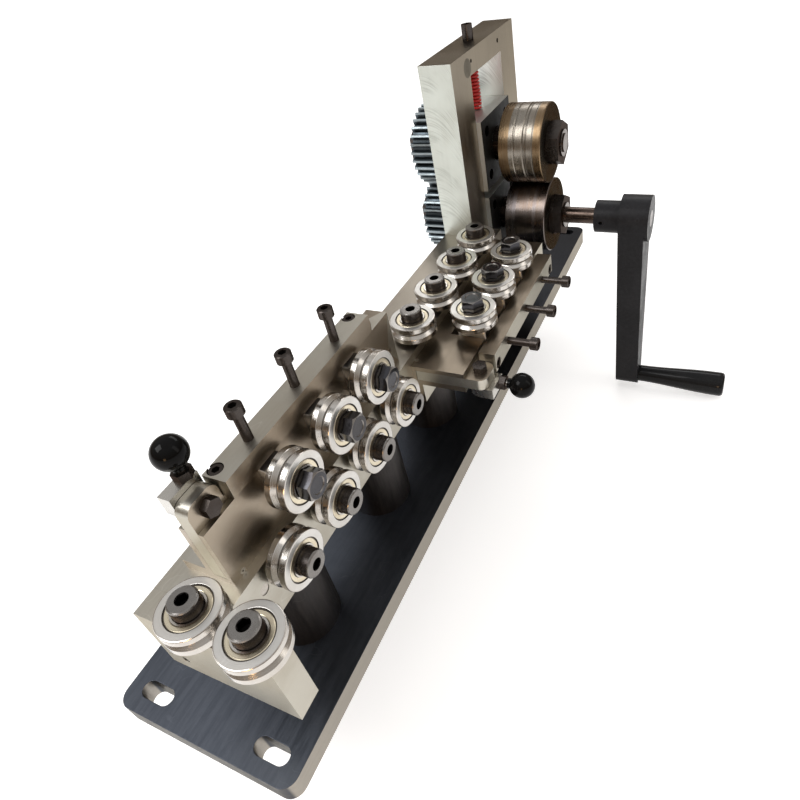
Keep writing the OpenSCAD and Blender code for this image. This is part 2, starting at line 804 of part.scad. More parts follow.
// A roller slide: the block behind the cover, the hub in front of it and the hex bolt
module slide(i) {
    v = first_slot + i * slot_pitch;
    color("#8f8a80") difference() {
        translate([slide_back, v - slide_w / 2, slide_bottom]) cube([-slide_back, slide_w, slide_h]);
        moving_place(i) blind(roller_screw_d + 2 * run_gap, roller_screw_depth + pass_gap);
        translate([0, v, 0]) {
            neck = adjuster_d + 2 * slide_gap;
            room = button_d + 2 * slide_gap;
            slot_run = adjuster_n - slide_back;
            translate([slide_back - over, -neck / 2, slide_top - lip_h - over])
                cube([slot_run + over, neck, lip_h + 2 * over]);
            translate([adjuster_n, 0, slide_top - lip_h - over]) cylinder(d = neck, h = lip_h + 2 * over);
            translate([slide_back - over, -room / 2, slide_top - lip_h - button_h - 2 * slide_gap])
                cube([slot_run + over, room, button_h + 2 * slide_gap]);
            translate([adjuster_n, 0, slide_top - lip_h - button_h - 2 * slide_gap])
                cylinder(d = room, h = button_h + 2 * slide_gap);
        }
    }
    color("#d8d8d6") moving_place(i) hub();
    color("#2f2d30") moving_place(i) {
        translate([0, 0, hub_h]) cylinder(d = cap_head_d, h = hex_seat - hub_h);
        translate([0, 0, hex_seat]) hexagon(hex_af, hex_h);
        translate([0, 0, -roller_screw_depth])
            cylinder(d = roller_screw_d, h = roller_screw_depth + hub_h + over);
    }
}

// An adjusting screw: its button turns in the slide and its shank in the bar
module adjuster(i) color("#2a2724") translate([adjuster_n, first_slot + i * slot_pitch, 0]) {
    button_low = slide_top - lip_h - slide_gap - button_h;
    translate([0, 0, button_low]) cylinder(d = button_d, h = button_h);
    translate([0, 0, adjuster_head_t])
        cap_screw(adjuster_d, adjuster_head_d, adjuster_head_h, adjuster_head_t - button_low - button_h / 2);
}

module upper_slide_1() on_top() slide(0);
module upper_slide_2() on_top() slide(1);
module upper_slide_3() on_top() slide(2);
module right_slide_1() on_side() slide(0);
module right_slide_2() on_side() slide(1);
module right_slide_3() on_side() slide(2);
module upper_adjuster_1() on_top() adjuster(0);
module upper_adjuster_2() on_top() adjuster(1);
module upper_adjuster_3() on_top() adjuster(2);
module right_adjuster_1() on_side() adjuster(0);
module right_adjuster_2() on_side() adjuster(1);
module right_adjuster_3() on_side() adjuster(2);

module entry_roller_left() entry_place(-1) roller();
module entry_roller_right() entry_place(1) roller();
module lower_roller_1() on_top() fixed_place(0) roller();
module lower_roller_2() on_top() fixed_place(1) roller();
module lower_roller_3() on_top() fixed_place(2) roller();
module lower_roller_4() on_top() fixed_place(3) roller();
module upper_roller_1() on_top() moving_place(0) roller();
module upper_roller_2() on_top() moving_place(1) roller();
module upper_roller_3() on_top() moving_place(2) roller();
module left_roller_1() on_side() fixed_place(0) roller();
module left_roller_2() on_side() fixed_place(1) roller();
module left_roller_3() on_side() fixed_place(2) roller();
module left_roller_4() on_side() fixed_place(3) roller();
module right_roller_1() on_side() moving_place(0) roller();
module right_roller_2() on_side() moving_place(1) roller();
module right_roller_3() on_side() moving_place(2) roller();

// Involute flank of a tooth: a point at radius r, at the tooth's half angle there
base_r = pitch_r * cos(pressure_angle);
function involute(r) = let (c = base_r / r) tan(acos(c)) * 180 / PI - acos(c);
function half_angle(r) = 90 / gear_teeth - backlash / (4 * pitch_r) * 180 / PI
    + involute(pitch_r) - involute(max(r, base_r));
function polar(r, a) = [r * cos(a), r * sin(a)];
flank_radii = [for (k = [0 : flank_steps]) base_r + (tip_r - base_r) * k / flank_steps];

// One tooth's corners from its near root to its far root, turned by a
function tooth(a) = concat(
    [polar(root_r, a - half_angle(base_r))],
    [for (r = flank_radii) polar(r, a - half_angle(r))],
    [for (k = [flank_steps : -1 : 0]) polar(flank_radii[k], a + half_angle(flank_radii[k]))],
    [polar(root_r, a + half_angle(base_r))]
);
function gear_points(turn) = [for (k = [0 : gear_teeth - 1]) each tooth(turn + k * 360 / gear_teeth)];

// A spur gear on its shaft's axis, with a turned recess in each face
module gear(z, turn) color("#2d3136") translate([gear_left, drive_y, z]) along_x() difference() {
    linear_extrude(gear_w) polygon(gear_points(turn));
    through(shaft_d + 2 * run_gap, gear_w);
    for (h = [-over, gear_w - gear_w / 10]) translate([0, 0, h]) rotate_extrude() polygon([
        [shaft_d * 0.8, 0], [root_r * 0.84, 0],
        [root_r * 0.84, gear_w / 10 + over], [shaft_d * 0.8, gear_w / 10 + over]
    ]);
}

module upper_gear() gear(upper_z, 0);
module lower_gear() gear(lower_z, 180 / gear_teeth);

// A roll blank of diameter d and width w with V grooves, each given as [place, width]
module roll(z, grooves) translate([roll_x, drive_y, z]) along_x() difference() {
    edge = roll_w / 40;
    r = roll_d / 2;
    rotate_extrude($fn = 128) polygon(concat(
        [[shaft_d / 2 + run_gap, 0], [r - edge, 0], [r, edge]],
        [for (g = grooves) each [[r, g[0] - g[1] / 2], [r - g[1] / 2, g[0]], [r, g[0] + g[1] / 2]]],
        [[r, roll_w - edge], [r - edge, roll_w], [shaft_d / 2 + run_gap, roll_w]]
    ));
}

// The wire's place on the rolls and the grooves beside it, for three wire sizes
groove_x = wire_x - roll_x;
groove_shares = [0.8, 0.6, 0.4];
roll_grooves = [for (k = [0 : 2]) [groove_x + k * roll_groove_pitch, groove_w * groove_shares[k]]];

module upper_roll() color("#8f6c3c") roll(upper_z, roll_grooves);
module lower_roll() color("#4a4038") roll(lower_z, []);

// A shaft with its shoulders, washers and nuts; tail is what runs on past the roll's nut
module shaft(z, tail_d, tail) translate([0, drive_y, z]) along_x() {
    shaft_start = gear_left - washer_t - gear_nut_h - tail_len;
    color("#6b4a35") {
        translate([0, 0, shaft_start]) cylinder(d = shaft_d, h = nut_end + tail_len / 2 - shaft_start);
        translate([0, 0, nut_end]) cylinder(d = tail_d, h = tail);
        translate([0, 0, gear_right]) cylinder(d = shoulder_d, h = flange_left - pass_gap - gear_right);
        translate([0, 0, block_right + pass_gap]) cylinder(d = shoulder_d, h = roll_stand_off - pass_gap);
    }
    color("#232223") {
        translate([0, 0, roll_end]) ring(washer_d, washer_t);
        translate([0, 0, roll_end + washer_t]) nut(nut_af, nut_h);
        translate([0, 0, gear_left - washer_t]) ring(washer_d, washer_t);
        translate([0, 0, gear_left - washer_t - gear_nut_h]) nut(gear_nut_af, gear_nut_h);
    }
}
module ring(d, h) difference() {
    cylinder(d = d, h = h);
    through(shaft_d + 2 * run_gap, h);
}
module nut(af, h) difference() {
    hexagon(af, h);
    through(shaft_d + 2 * run_gap, h);
}

module upper_shaft() shaft(upper_z, shaft_d * 0.7, tail_len);
module lower_shaft() shaft(lower_z, crank_shaft_d, hub_x + crank_hub_len - nut_end);

// The crank: boss and hub on the shaft, a tapered arm that hangs down, the set screw and the spindle
module crank_arm() translate([0, drive_y, lower_z]) {
    color("#26262a") difference() {
        union() {
            translate([boss_x, 0, 0]) along_x() cylinder(d = crank_boss_d, h = crank_boss_len + over);
            translate([hub_x, 0, 0]) along_x() cylinder(d = crank_hub_d, h = crank_hub_len);
            translate([hub_x, 0, 0]) along_x() linear_extrude(crank_arm_t) arm_outline();
        }
        translate([boss_x, 0, 0]) along_x()
            through(crank_shaft_d + 2 * run_gap, crank_boss_len + crank_hub_len);
        translate([set_screw_x, -crank_boss_d / 2, 0]) rotate([90, 0, 0])
            blind(set_screw_d, (crank_boss_d - crank_shaft_d) / 2);
        translate([arm_out, 0, -crank_r]) along_x() blind(spindle_d + 2 * run_gap, crank_arm_t * 0.8);
    }
    color("#2a2724") translate([set_screw_x, -crank_shaft_d / 2 - pass_gap, 0]) rotate([90, 0, 0])
        difference() {
            cylinder(d = set_screw_d - 2 * run_gap, h = crank_boss_d / 2 - crank_shaft_d / 2 - 2 * pass_gap);
            translate([0, 0, set_screw_d / 3]) hexagon(set_screw_d / 2, set_screw_d);
        }
    color("#9a9a9c") translate([arm_out - crank_arm_t * 0.75, 0, -crank_r]) along_x() {
        spindle_len = crank_arm_t * 0.75 + 2 * pass_gap + grip_len - spindle_seat;
        cylinder(d = spindle_d, h = spindle_len + spindle_head_h / 2);
        translate([0, 0, spindle_len]) cylinder(d = spindle_head_d, h = spindle_head_h);
    }
}

// The arm's outline, with its length along the first axis, drawn in a little from the hub's rim
module arm_outline() hull() {
    circle(d = crank_hub_d - 2 * arm_step);
    translate([crank_r, 0]) circle(d = crank_end_d);
}

// The grip, turned: narrow at the arm, swelling to a round outer end
module crank_grip() color("#141416") translate([grip_x, drive_y, lower_z - crank_r]) along_x()
    difference() {
        rotate_extrude() polygon(concat(
            [[0, 0]],
            [for (k = [0 : grip_steps]) grip_point(k / grip_steps)],
            [for (a = [0 : 30 : 90]) [grip_big_d / 2 - edge_r * 2 + edge_r * 2 * cos(a),
                grip_len - edge_r * 2 + edge_r * 2 * sin(a)]],
            [[0, grip_len]]
        ));
        through(spindle_d + 2 * run_gap, grip_len);
        translate([0, 0, grip_len - spindle_seat])
            cylinder(d = spindle_head_d + 2 * pass_gap, h = spindle_seat + over);
    }
grip_steps = 8;
// The grip's radius grows in a smooth curve along its length; s runs from 0 to 1
function grip_point(s) = [
    grip_d / 2 + (grip_big_d - grip_d) / 2 * (1 - cos(180 * s)) / 2,
    s * (grip_len - edge_r * 4)
];

// The seat pushes the spring down; its pin keeps the spring in line
module spring_seat() color("#8d8d90") translate([spring_x, drive_y, seat_z]) difference() {
    union() {
        cylinder(d = seat_d, h = seat_h);
        translate([0, 0, -pin_h]) cylinder(d = pin_d, h = pin_h + over);
    }
    translate([0, 0, seat_h]) blind(pressure_d + 2 * run_gap, seat_pocket);
}

module pressure_screw() color("#2a2724") translate([spring_x, drive_y, seat_z + seat_h - seat_pocket])
    difference() {
        cylinder(d = pressure_d, h = stand_top + pressure_rise - seat_z - seat_h + seat_pocket);
        translate([0, 0, stand_top + pressure_rise - seat_z - seat_h + seat_pocket]) mirror([0, 0, 1])
            translate([0, 0, -over]) hexagon(pressure_d / 2, pressure_d / 2 + over);
    }

// The spring's centre line: a straight end, the curls and a straight end. s runs from 0 to 1.
coil_r = (spring_d - spring_wire) / 2;
coil_low = spring_low + spring_wire;
coil_high = spring_high - spring_wire;
coil_steps = spring_curls * spring_rings;
function coil_point(k) = let (a = 360 * k / spring_rings)
    [coil_r * cos(a), coil_r * sin(a), coil_low + (coil_high - coil_low) * k / coil_steps];
spring_path = concat(
    [[coil_r, 0, spring_low]],
    [for (k = [0 : coil_steps]) coil_point(k)],
    [[coil_r, 0, spring_high]]
);
path_count = len(spring_path);
function unit(v) = v / norm(v);
// The way the tube runs at a point: level at the curls, upright at both ends
function heading(k) = k == 0 || k == path_count - 1 ? [0, 0, 1]
    : unit(spring_path[k + 1] - spring_path[k - 1]);
// The six corners of the tube at a point, set out from the coil's axis
function tube_ring(k) = let (
    p = spring_path[k],
    out = unit([p[0], p[1], 0]),
    t = heading(k),
    side = unit(out - (out * t) * t),
    up = cross(t, side)
) [for (j = [0 : spring_sides - 1]) let (a = 360 * j / spring_sides)
    p + spring_wire / 2 * (cos(a) * side + sin(a) * up)];

module pressure_spring() color("#c3161c") translate([spring_x, drive_y, 0]) polyhedron(
    points = [for (k = [0 : path_count - 1]) each tube_ring(k)],
    faces = concat(
        [[for (j = [0 : spring_sides - 1]) spring_sides - 1 - j]],
        [for (k = [0 : path_count - 2], j = [0 : spring_sides - 1]) let (
            a = k * spring_sides + j,
            b = k * spring_sides + (j + 1) % spring_sides
        ) each [[a, b, b + spring_sides], [a, b + spring_sides, a + spring_sides]]],
        [[for (j = [0 : spring_sides - 1]) (path_count - 1) * spring_sides + j]]
    )
);

// The least gap of the spring to itself: points a curl or more apart, less the tube's diameter
spring_self_gap = min([for (k = [0 : path_count - 1], m = [0 : path_count - 1])
    if (m - k >= spring_rings - 2) norm(spring_path[k] - spring_path[m])]) - spring_wire;
echo(spring_self_gap = spring_self_gap);  // pressure_spring

base_plate();
support_posts();
rail();
front_block();
drive_frame();
lower_bearing_block();
base_screws();
rail_screws();
roller_cap_screws();
roller_hubs();
back_plates();
cover_plates();
entry_roller_left();
entry_roller_right();
lower_roller_1();
lower_roller_2();
lower_roller_3();
lower_roller_4();
upper_roller_1();
upper_roller_2();
upper_roller_3();
left_roller_1();
left_roller_2();
left_roller_3();
left_roller_4();
right_roller_1();
right_roller_2();
right_roller_3();
upper_slide_1();
upper_slide_2();
upper_slide_3();
right_slide_1();
right_slide_2();
right_slide_3();
upper_adjuster_1();
upper_adjuster_2();
upper_adjuster_3();
right_adjuster_1();
right_adjuster_2();
right_adjuster_3();
vertical_carriage();
vertical_carriage_screws();
vertical_lever();
vertical_knob();
side_carriage();
side_carriage_screws();
side_lever();
side_knob();
upper_bearing_block();
pressure_spring();
spring_seat();
pressure_screw();
upper_shaft();
upper_gear();
upper_roll();
lower_shaft();
lower_gear();
lower_roll();
crank_arm();
crank_grip();
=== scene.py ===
# %% [markdown]
# A hand-cranked wire straightener pulls wire through two banks of grooved rollers with a
# pair of geared drive rolls. The solids come ready made from the frame, so this lesson is
# about the camera, the light, the finishes of worked steel, and the turned pieces whose
# faces differ from ring to ring.

# %% Load the frame
import json
import math
import bmesh
import bpy
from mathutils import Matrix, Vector


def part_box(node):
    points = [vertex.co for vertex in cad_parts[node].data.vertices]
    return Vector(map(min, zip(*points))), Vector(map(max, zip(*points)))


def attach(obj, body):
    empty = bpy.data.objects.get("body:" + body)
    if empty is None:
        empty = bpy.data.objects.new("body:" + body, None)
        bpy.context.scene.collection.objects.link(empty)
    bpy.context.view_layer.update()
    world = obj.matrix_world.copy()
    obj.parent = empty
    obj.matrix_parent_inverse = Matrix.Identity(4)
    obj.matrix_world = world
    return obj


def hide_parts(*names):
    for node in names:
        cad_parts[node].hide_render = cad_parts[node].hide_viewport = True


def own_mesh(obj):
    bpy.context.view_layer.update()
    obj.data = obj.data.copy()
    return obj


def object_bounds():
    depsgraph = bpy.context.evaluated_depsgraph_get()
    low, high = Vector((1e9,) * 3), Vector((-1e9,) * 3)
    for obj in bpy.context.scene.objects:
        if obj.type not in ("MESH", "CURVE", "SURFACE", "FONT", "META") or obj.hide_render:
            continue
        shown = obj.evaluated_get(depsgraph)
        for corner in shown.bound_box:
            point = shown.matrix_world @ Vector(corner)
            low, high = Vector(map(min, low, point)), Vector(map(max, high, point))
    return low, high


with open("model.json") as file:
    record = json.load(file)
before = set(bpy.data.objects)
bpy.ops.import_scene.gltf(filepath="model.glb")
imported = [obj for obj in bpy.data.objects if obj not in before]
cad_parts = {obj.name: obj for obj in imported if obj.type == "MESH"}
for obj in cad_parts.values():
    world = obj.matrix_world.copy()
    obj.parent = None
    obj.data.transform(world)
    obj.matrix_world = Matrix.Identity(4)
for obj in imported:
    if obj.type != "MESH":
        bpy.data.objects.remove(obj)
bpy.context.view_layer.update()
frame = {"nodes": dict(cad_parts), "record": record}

nodes = frame["nodes"]
mm = 0.001
print("CAD nodes:", len(nodes))

# %% [markdown]
# The photograph was taken from above the inlet end with a wide lens. A camera is a place,
# three turns and a focal length. The lens of the photograph points a little off the middle
# of the picture, and the shift says how far.

# %% Camera
def in_scene(name, data):
    """A new object in the scene, at the origin."""
    thing = bpy.data.objects.new(name, data)
    bpy.context.scene.collection.objects.link(thing)
    return thing


lens, sensor = 27.77, 36
shift = (-0.0462, -0.0439)
near_limit = 0.02
eye = (0.20618, -0.31405, 0.32943)
turns = (51.221, 9.170, 24.272)
camera_data = bpy.data.cameras.new("camera")
camera_data.lens = lens
camera_data.sensor_width = sensor
camera_data.shift_x, camera_data.shift_y = shift
camera_data.clip_start = near_limit
camera = in_scene("camera", camera_data)
camera.location = eye
camera.rotation_euler = [math.radians(angle) for angle in turns]
bpy.context.scene.camera = camera
print("camera:", lens, "mm lens at", eye)

# %% [markdown]
# Bright metal shows its surroundings, so the room matters as much as the lamps. The world
# is a plain studio, made as a ramp over the height of the view: white overhead and a warm
# brown at the horizon, which the worked steel mirrors as the photograph shows.

# %% Studio world
def new_node(tree, kind, **inputs):
    """Adds a node and sets its inputs, with _ for each space in a name."""
    node = tree.nodes.new(kind)
    for key, value in inputs.items():
        node.inputs[key.replace("_", " ")].default_value = value
    return node


def wire_up(tree, *pairs):
    """Links each (node, output, node, input) of a tree."""
    for source, output, target, port in pairs:
        tree.links.new(source.outputs[output], target.inputs[port])


world = bpy.data.worlds.new("studio")
bpy.context.scene.world = world
world.use_nodes = True
sky = world.node_tree
sky.nodes.clear()
sky_way = sky.nodes.new("ShaderNodeTexCoord")
sky_parts = sky.nodes.new("ShaderNodeSeparateXYZ")
sky_ramp = sky.nodes.new("ShaderNodeValToRGB")
sky_light = new_node(sky, "ShaderNodeBackground", Strength=0.85)
sky_out = sky.nodes.new("ShaderNodeOutputWorld")
ramp = sky_ramp.color_ramp
below, horizon = (0.50, 0.43, 0.36, 1), (0.24, 0.165, 0.10, 1)
wall, overhead = (0.44, 0.39, 0.34, 1), (1.0, 1.0, 1.0, 1)
ramp.elements[0].position, ramp.elements[0].color = 0.0, below
ramp.elements[1].position, ramp.elements[1].color = 0.85, overhead
for height, shade in ((0.10, horizon), (0.30, wall)):
    ramp.elements.new(height).color = shade
wire_up(sky, (sky_way, "Generated", sky_parts, 0), (sky_parts, "Z", sky_ramp, 0),
        (sky_ramp, 0, sky_light, "Color"), (sky_light, 0, sky_out, 0))
print("world steps:", len(ramp.elements))

# %% [markdown]
# The floor is one large square just under the base. Its paint is plain and dull, so it
# keeps the object's shadow. For the camera and for reflections a soft glow is added: the
# ground is then white in the picture and in the metal, and no lamp has to be brighter.

# %% Floor
low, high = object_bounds()
floor_gap = 0.004
floor_size = 80.0
floor_grey, floor_roughness, floor_glow = (0.86, 0.86, 0.86, 1), 0.9, 0.56
floor_mesh = bpy.data.meshes.new("floor")
half = floor_size / 2
corners = [(-half, -half, 0), (half, -half, 0), (half, half, 0), (-half, half, 0)]
floor_mesh.from_pydata(corners, [], [(0, 1, 2, 3)])
floor = in_scene("floor", floor_mesh)
floor.location.z = low.z - floor_gap
floor_paint = bpy.data.materials.new("floor_paint")
floor_paint.use_nodes = True
tree = floor_paint.node_tree
paint = tree.nodes["Principled BSDF"]
paint.inputs["Base Color"].default_value = floor_grey
paint.inputs["Roughness"].default_value = floor_roughness
glow = new_node(tree, "ShaderNodeEmission", Strength=floor_glow)
add = tree.nodes.new("ShaderNodeAddShader")
pick = tree.nodes.new("ShaderNodeMixShader")
way = tree.nodes.new("ShaderNodeLightPath")
either = tree.nodes.new("ShaderNodeMath")
either.operation = "MAXIMUM"
wire_up(tree, (way, "Is Camera Ray", either, 0), (way, "Is Glossy Ray", either, 1),
        (either, 0, pick, "Fac"), (paint, 0, add, 0), (glow, 0, add, 1), (paint, 0, pick, 1),
        (add, 0, pick, 2), (pick, 0, tree.nodes["Material Output"], "Surface"))
floor_mesh.materials.append(floor_paint)
print("floor at", round(floor.location.z, 4))

# %% [markdown]
# Soft lamps are rectangles, and a larger one has a softer shadow. The key lamp stands high
# on the left, as in the photograph. Two more lift the right side and the back a little, and
# a small warm one by the inlet gives the black balls and the rollers their orange glints.
# The Standard view shows a colour as it is written.

# %% Lamps
def soft_lamp(name, place, aim, size, power, tone=(1, 1, 1)):
    """A rectangular lamp that looks at a point."""
    data = bpy.data.lights.new(name, "AREA")
    data.shape = "RECTANGLE"
    data.size, data.size_y = size
    data.energy = power
    data.color = tone
    lamp = in_scene(name, data)
    lamp.location = place
    lamp.rotation_euler = (Vector(aim) - Vector(place)).to_track_quat("-Z", "Y").to_euler()
    print("lamp", name, power, "W")


middle = (0.03, 0.0, 0.1)
soft_lamp("key", (-0.7, -0.9, 1.5), middle, (0.9, 0.9), 16)
soft_lamp("side", (1.3, 0.2, 0.9), middle, (0.5, 1.2), 2.6, (1.0, 0.97, 0.93))
soft_lamp("back", (-0.2, 1.3, 1.1), middle, (1.2, 0.4), 5)
soft_lamp("warm", (0.35, -1.2, 0.25), middle, (0.22, 0.22), 1.6, (1.0, 0.60, 0.28))
view = bpy.context.scene.view_settings
view.view_transform = "Standard"

# %% [markdown]
# A material is a tree of nodes. These few helpers add a group, a sum, a range or a noise to
# a tree and return its output, so that a pattern reads like a line of sums.

# %% Node helpers
def new_group(name, sockets_in, sockets_out):
    """An empty shader group with its input and output nodes."""
    group = bpy.data.node_groups.new(name, "ShaderNodeTree")
    for socket, kind, value in sockets_in:
        made = group.interface.new_socket(socket, in_out="INPUT", socket_type=kind)
        if value is not None:
            made.default_value = value
    for socket, kind in sockets_out:
        group.interface.new_socket(socket, in_out="OUTPUT", socket_type=kind)
    return group, group.nodes.new("NodeGroupInput"), group.nodes.new("NodeGroupOutput")


def math_node(tree, operation, first, second=None):
    """The result of one sum on numbers or outputs."""
    node = tree.nodes.new("ShaderNodeMath")
    node.operation = operation
    for index, value in enumerate((first, second)):
        if value is None:
            continue
        if isinstance(value, (int, float)):
            node.inputs[index].default_value = value
        else:
            tree.links.new(value, node.inputs[index])
    return node.outputs[0]


def range_node(tree, value, low_in, high_in, low_out=0.0, high_out=1.0):
    """Spreads one range of a value softly over another."""
    node = tree.nodes.new("ShaderNodeMapRange")
    node.interpolation_type = "SMOOTHSTEP"
    tree.links.new(value, node.inputs["Value"])
    for key, number in (("From Min", low_in), ("From Max", high_in),
                        ("To Min", low_out), ("To Max", high_out)):
        if isinstance(number, (int, float)):
            node.inputs[key].default_value = number
        else:
            tree.links.new(number, node.inputs[key])
    return node.outputs["Result"]


def noise_node(tree, vector, scale, detail=3.0, roughness=0.55):
    """A noise at a scale, as a value from 0 to 1."""
    node = tree.nodes.new("ShaderNodeTexNoise")
    node.inputs["Detail"].default_value = detail
    node.inputs["Roughness"].default_value = roughness
    tree.links.new(vector, node.inputs["Vector"])
    if isinstance(scale, (int, float)):
        node.inputs["Scale"].default_value = scale
    else:
        tree.links.new(scale, node.inputs["Scale"])
    return node.outputs["Fac"]


# %% [markdown]
# Worked steel is never one colour. A few patterns come back on nearly every piece: fine
# lines that a grinder or a brush leaves, soft blotches where oil and hands have been,
# and thin wandering scratches. Each is one node group with named inputs, so that every
# finish can use it at its own scale.

# %% Pattern groups
VEC, NUM = "NodeSocketVector", "NodeSocketFloat"

lines_group, g_in, g_out = new_group(
    "ground_lines", [("Vector", VEC, None), ("Stretch", VEC, (1, 1, 1))], [("Lines", NUM)])
stretch = lines_group.nodes.new("ShaderNodeVectorMath")
stretch.operation = "MULTIPLY"
wire_up(lines_group, (g_in, "Vector", stretch, 0), (g_in, "Stretch", stretch, 1))
grain = noise_node(lines_group, stretch.outputs[0], 1.0, 4.0, 0.7)
lines_group.links.new(range_node(lines_group, grain, 0.32, 0.68), g_out.inputs["Lines"])

blotch_group, g_in, g_out = new_group(
    "oil_blotches", [("Vector", VEC, None), ("Scale", NUM, 20.0)], [("Blotches", NUM)])
cloud = noise_node(blotch_group, g_in.outputs["Vector"], g_in.outputs["Scale"], 5.0, 0.6)
blotch_group.links.new(range_node(blotch_group, cloud, 0.38, 0.66), g_out.inputs["Blotches"])

scratch_group, g_in, g_out = new_group(
    "wandering_scratches", [("Vector", VEC, None), ("Scale", NUM, 60.0), ("Width", NUM, 0.012)],
    [("Scratches", NUM)])
curl = noise_node(scratch_group, g_in.outputs["Vector"], g_in.outputs["Scale"], 1.5, 0.4)
off_line = math_node(scratch_group, "ABSOLUTE", math_node(scratch_group, "SUBTRACT", curl, 0.5))
thin = range_node(scratch_group, off_line, 0.0, g_in.outputs["Width"], 1.0, 0.0)
where = noise_node(scratch_group, g_in.outputs["Vector"], 35.0, 2.0)
where = range_node(scratch_group, where, 0.5, 0.62)
scratch_group.links.new(math_node(scratch_group, "MULTIPLY", thin, where), g_out.inputs["Scratches"])

# %% [markdown]
# The ends of the stand were cut by a round cutter, which leaves rows of arcs. Near its top
# an arc falls with the square of the distance, so a noise read along such a curve draws
# the whole row, and a second noise leaves out patches of it.

# %% Mill arcs
mill_group, g_in, g_out = new_group(
    "mill_arcs",
    [("Vector", VEC, None), ("Radius", NUM, 0.025), ("Start", NUM, -0.007), ("Scale", NUM, 900.0)],
    [("Arcs", NUM)])
parts = mill_group.nodes.new("ShaderNodeSeparateXYZ")
mill_group.links.new(g_in.outputs["Vector"], parts.inputs[0])
across = math_node(mill_group, "SUBTRACT", parts.outputs["X"], g_in.outputs["Start"])
square = math_node(mill_group, "MULTIPLY", across, across)
drop = math_node(mill_group, "DIVIDE", square, g_in.outputs["Radius"])
field = mill_group.nodes.new("ShaderNodeCombineXYZ")
mill_group.links.new(math_node(mill_group, "ADD", parts.outputs["Z"], drop), field.inputs[2])
mill_group.links.new(math_node(mill_group, "MULTIPLY", across, 0.05), field.inputs[0])
marks = noise_node(mill_group, field.outputs[0], g_in.outputs["Scale"], 2.0, 0.6)
marks = range_node(mill_group, marks, 0.44, 0.62)
patches = noise_node(mill_group, g_in.outputs["Vector"], 45.0, 2.0)
patches = range_node(mill_group, patches, 0.4, 0.6)
mill_group.links.new(math_node(mill_group, "MULTIPLY", marks, patches), g_out.inputs["Arcs"])
print("pattern groups:", len(bpy.data.node_groups))

# %% [markdown]
# Every finish starts from the same few lines: a shader with its steady values on its own
# sockets, the place on the piece that patterns read, and masks by direction or by place.

# %% Finish recipe
def mix_colour(tree, factor, first, second):
    """Goes from one colour to another, as far as the factor says."""
    node = tree.nodes.new("ShaderNodeMix")
    node.data_type = "RGBA"
    ports = {port.identifier: port for port in node.inputs}
    for key, value in (("Factor_Float", factor), ("A_Color", first), ("B_Color", second)):
        socket = ports[key]
        if isinstance(value, tuple):
            socket.default_value = (*value, 1.0)
        elif isinstance(value, (int, float)):
            socket.default_value = value
        else:
            tree.links.new(value, socket)
    return node.outputs[2]


class Finish:
    """A material under construction: its tree, its shader and its place on the piece."""

    def __init__(self, name, metallic, turned=False):
        self.material = bpy.data.materials.new(name)
        self.material.use_nodes = True
        self.tree = self.material.node_tree
        self.shader = self.tree.nodes["Principled BSDF"]
        self.shader.inputs["Metallic"].default_value = metallic
        coords = self.tree.nodes.new("ShaderNodeTexCoord")
        self.vector = coords.outputs["Object"]
        self.place = coords.outputs["Object"]
        self.normal = coords.outputs["Normal"]
        if turned:
            way = self.tree.nodes.new("ShaderNodeAttribute")
            way.attribute_name = "ring_way"
            self.vector = way.outputs["Vector"]

    def pattern(self, group, output, way, **inputs):
        node = self.tree.nodes.new("ShaderNodeGroup")
        node.node_tree = group
        self.tree.links.new(way, node.inputs["Vector"])
        for key, value in inputs.items():
            node.inputs[key].default_value = value
        return node.outputs[output]

    turn_from, turn_to = 0.6, 0.8

    def facing(self, axis, sign=1):
        """A mask that is 1 where the surface faces along an axis of the piece."""
        parts = self.tree.nodes.new("ShaderNodeSeparateXYZ")
        self.tree.links.new(self.normal, parts.inputs[0])
        value = math_node(self.tree, "MULTIPLY", parts.outputs[axis], float(sign))
        return range_node(self.tree, value, self.turn_from, self.turn_to)

    def along(self, axis, start, end):
        """A mask that goes from 0 to 1 between two places along an axis of the piece."""
        parts = self.tree.nodes.new("ShaderNodeSeparateXYZ")
        self.tree.links.new(self.place, parts.inputs[0])
        return range_node(self.tree, parts.outputs[axis], start, end)

    def colour(self, value):
        self.tree.links.new(value, self.shader.inputs["Base Color"])

    def rough(self, mask, smooth, dull):
        spread = range_node(self.tree, mask, 0.0, 1.0, smooth, dull)
        self.tree.links.new(spread, self.shader.inputs["Roughness"])

    def bump(self, height, depth, strength=0.6):
        node = self.tree.nodes.new("ShaderNodeBump")
        node.inputs["Strength"].default_value = strength
        node.inputs["Distance"].default_value = depth
        self.tree.links.new(height, node.inputs["Height"])
        self.tree.links.new(node.outputs[0], self.shader.inputs["Normal"])


# %% [markdown]
# A finish is then a short recipe: a colour, a second colour where the blotches are, a
# lighter one along the lines and scratches, a range of roughness and a little bump. One
# function makes all of them, and only the numbers differ.

# %% Worked steel
finishes = {}
scratch_scale = 90.0


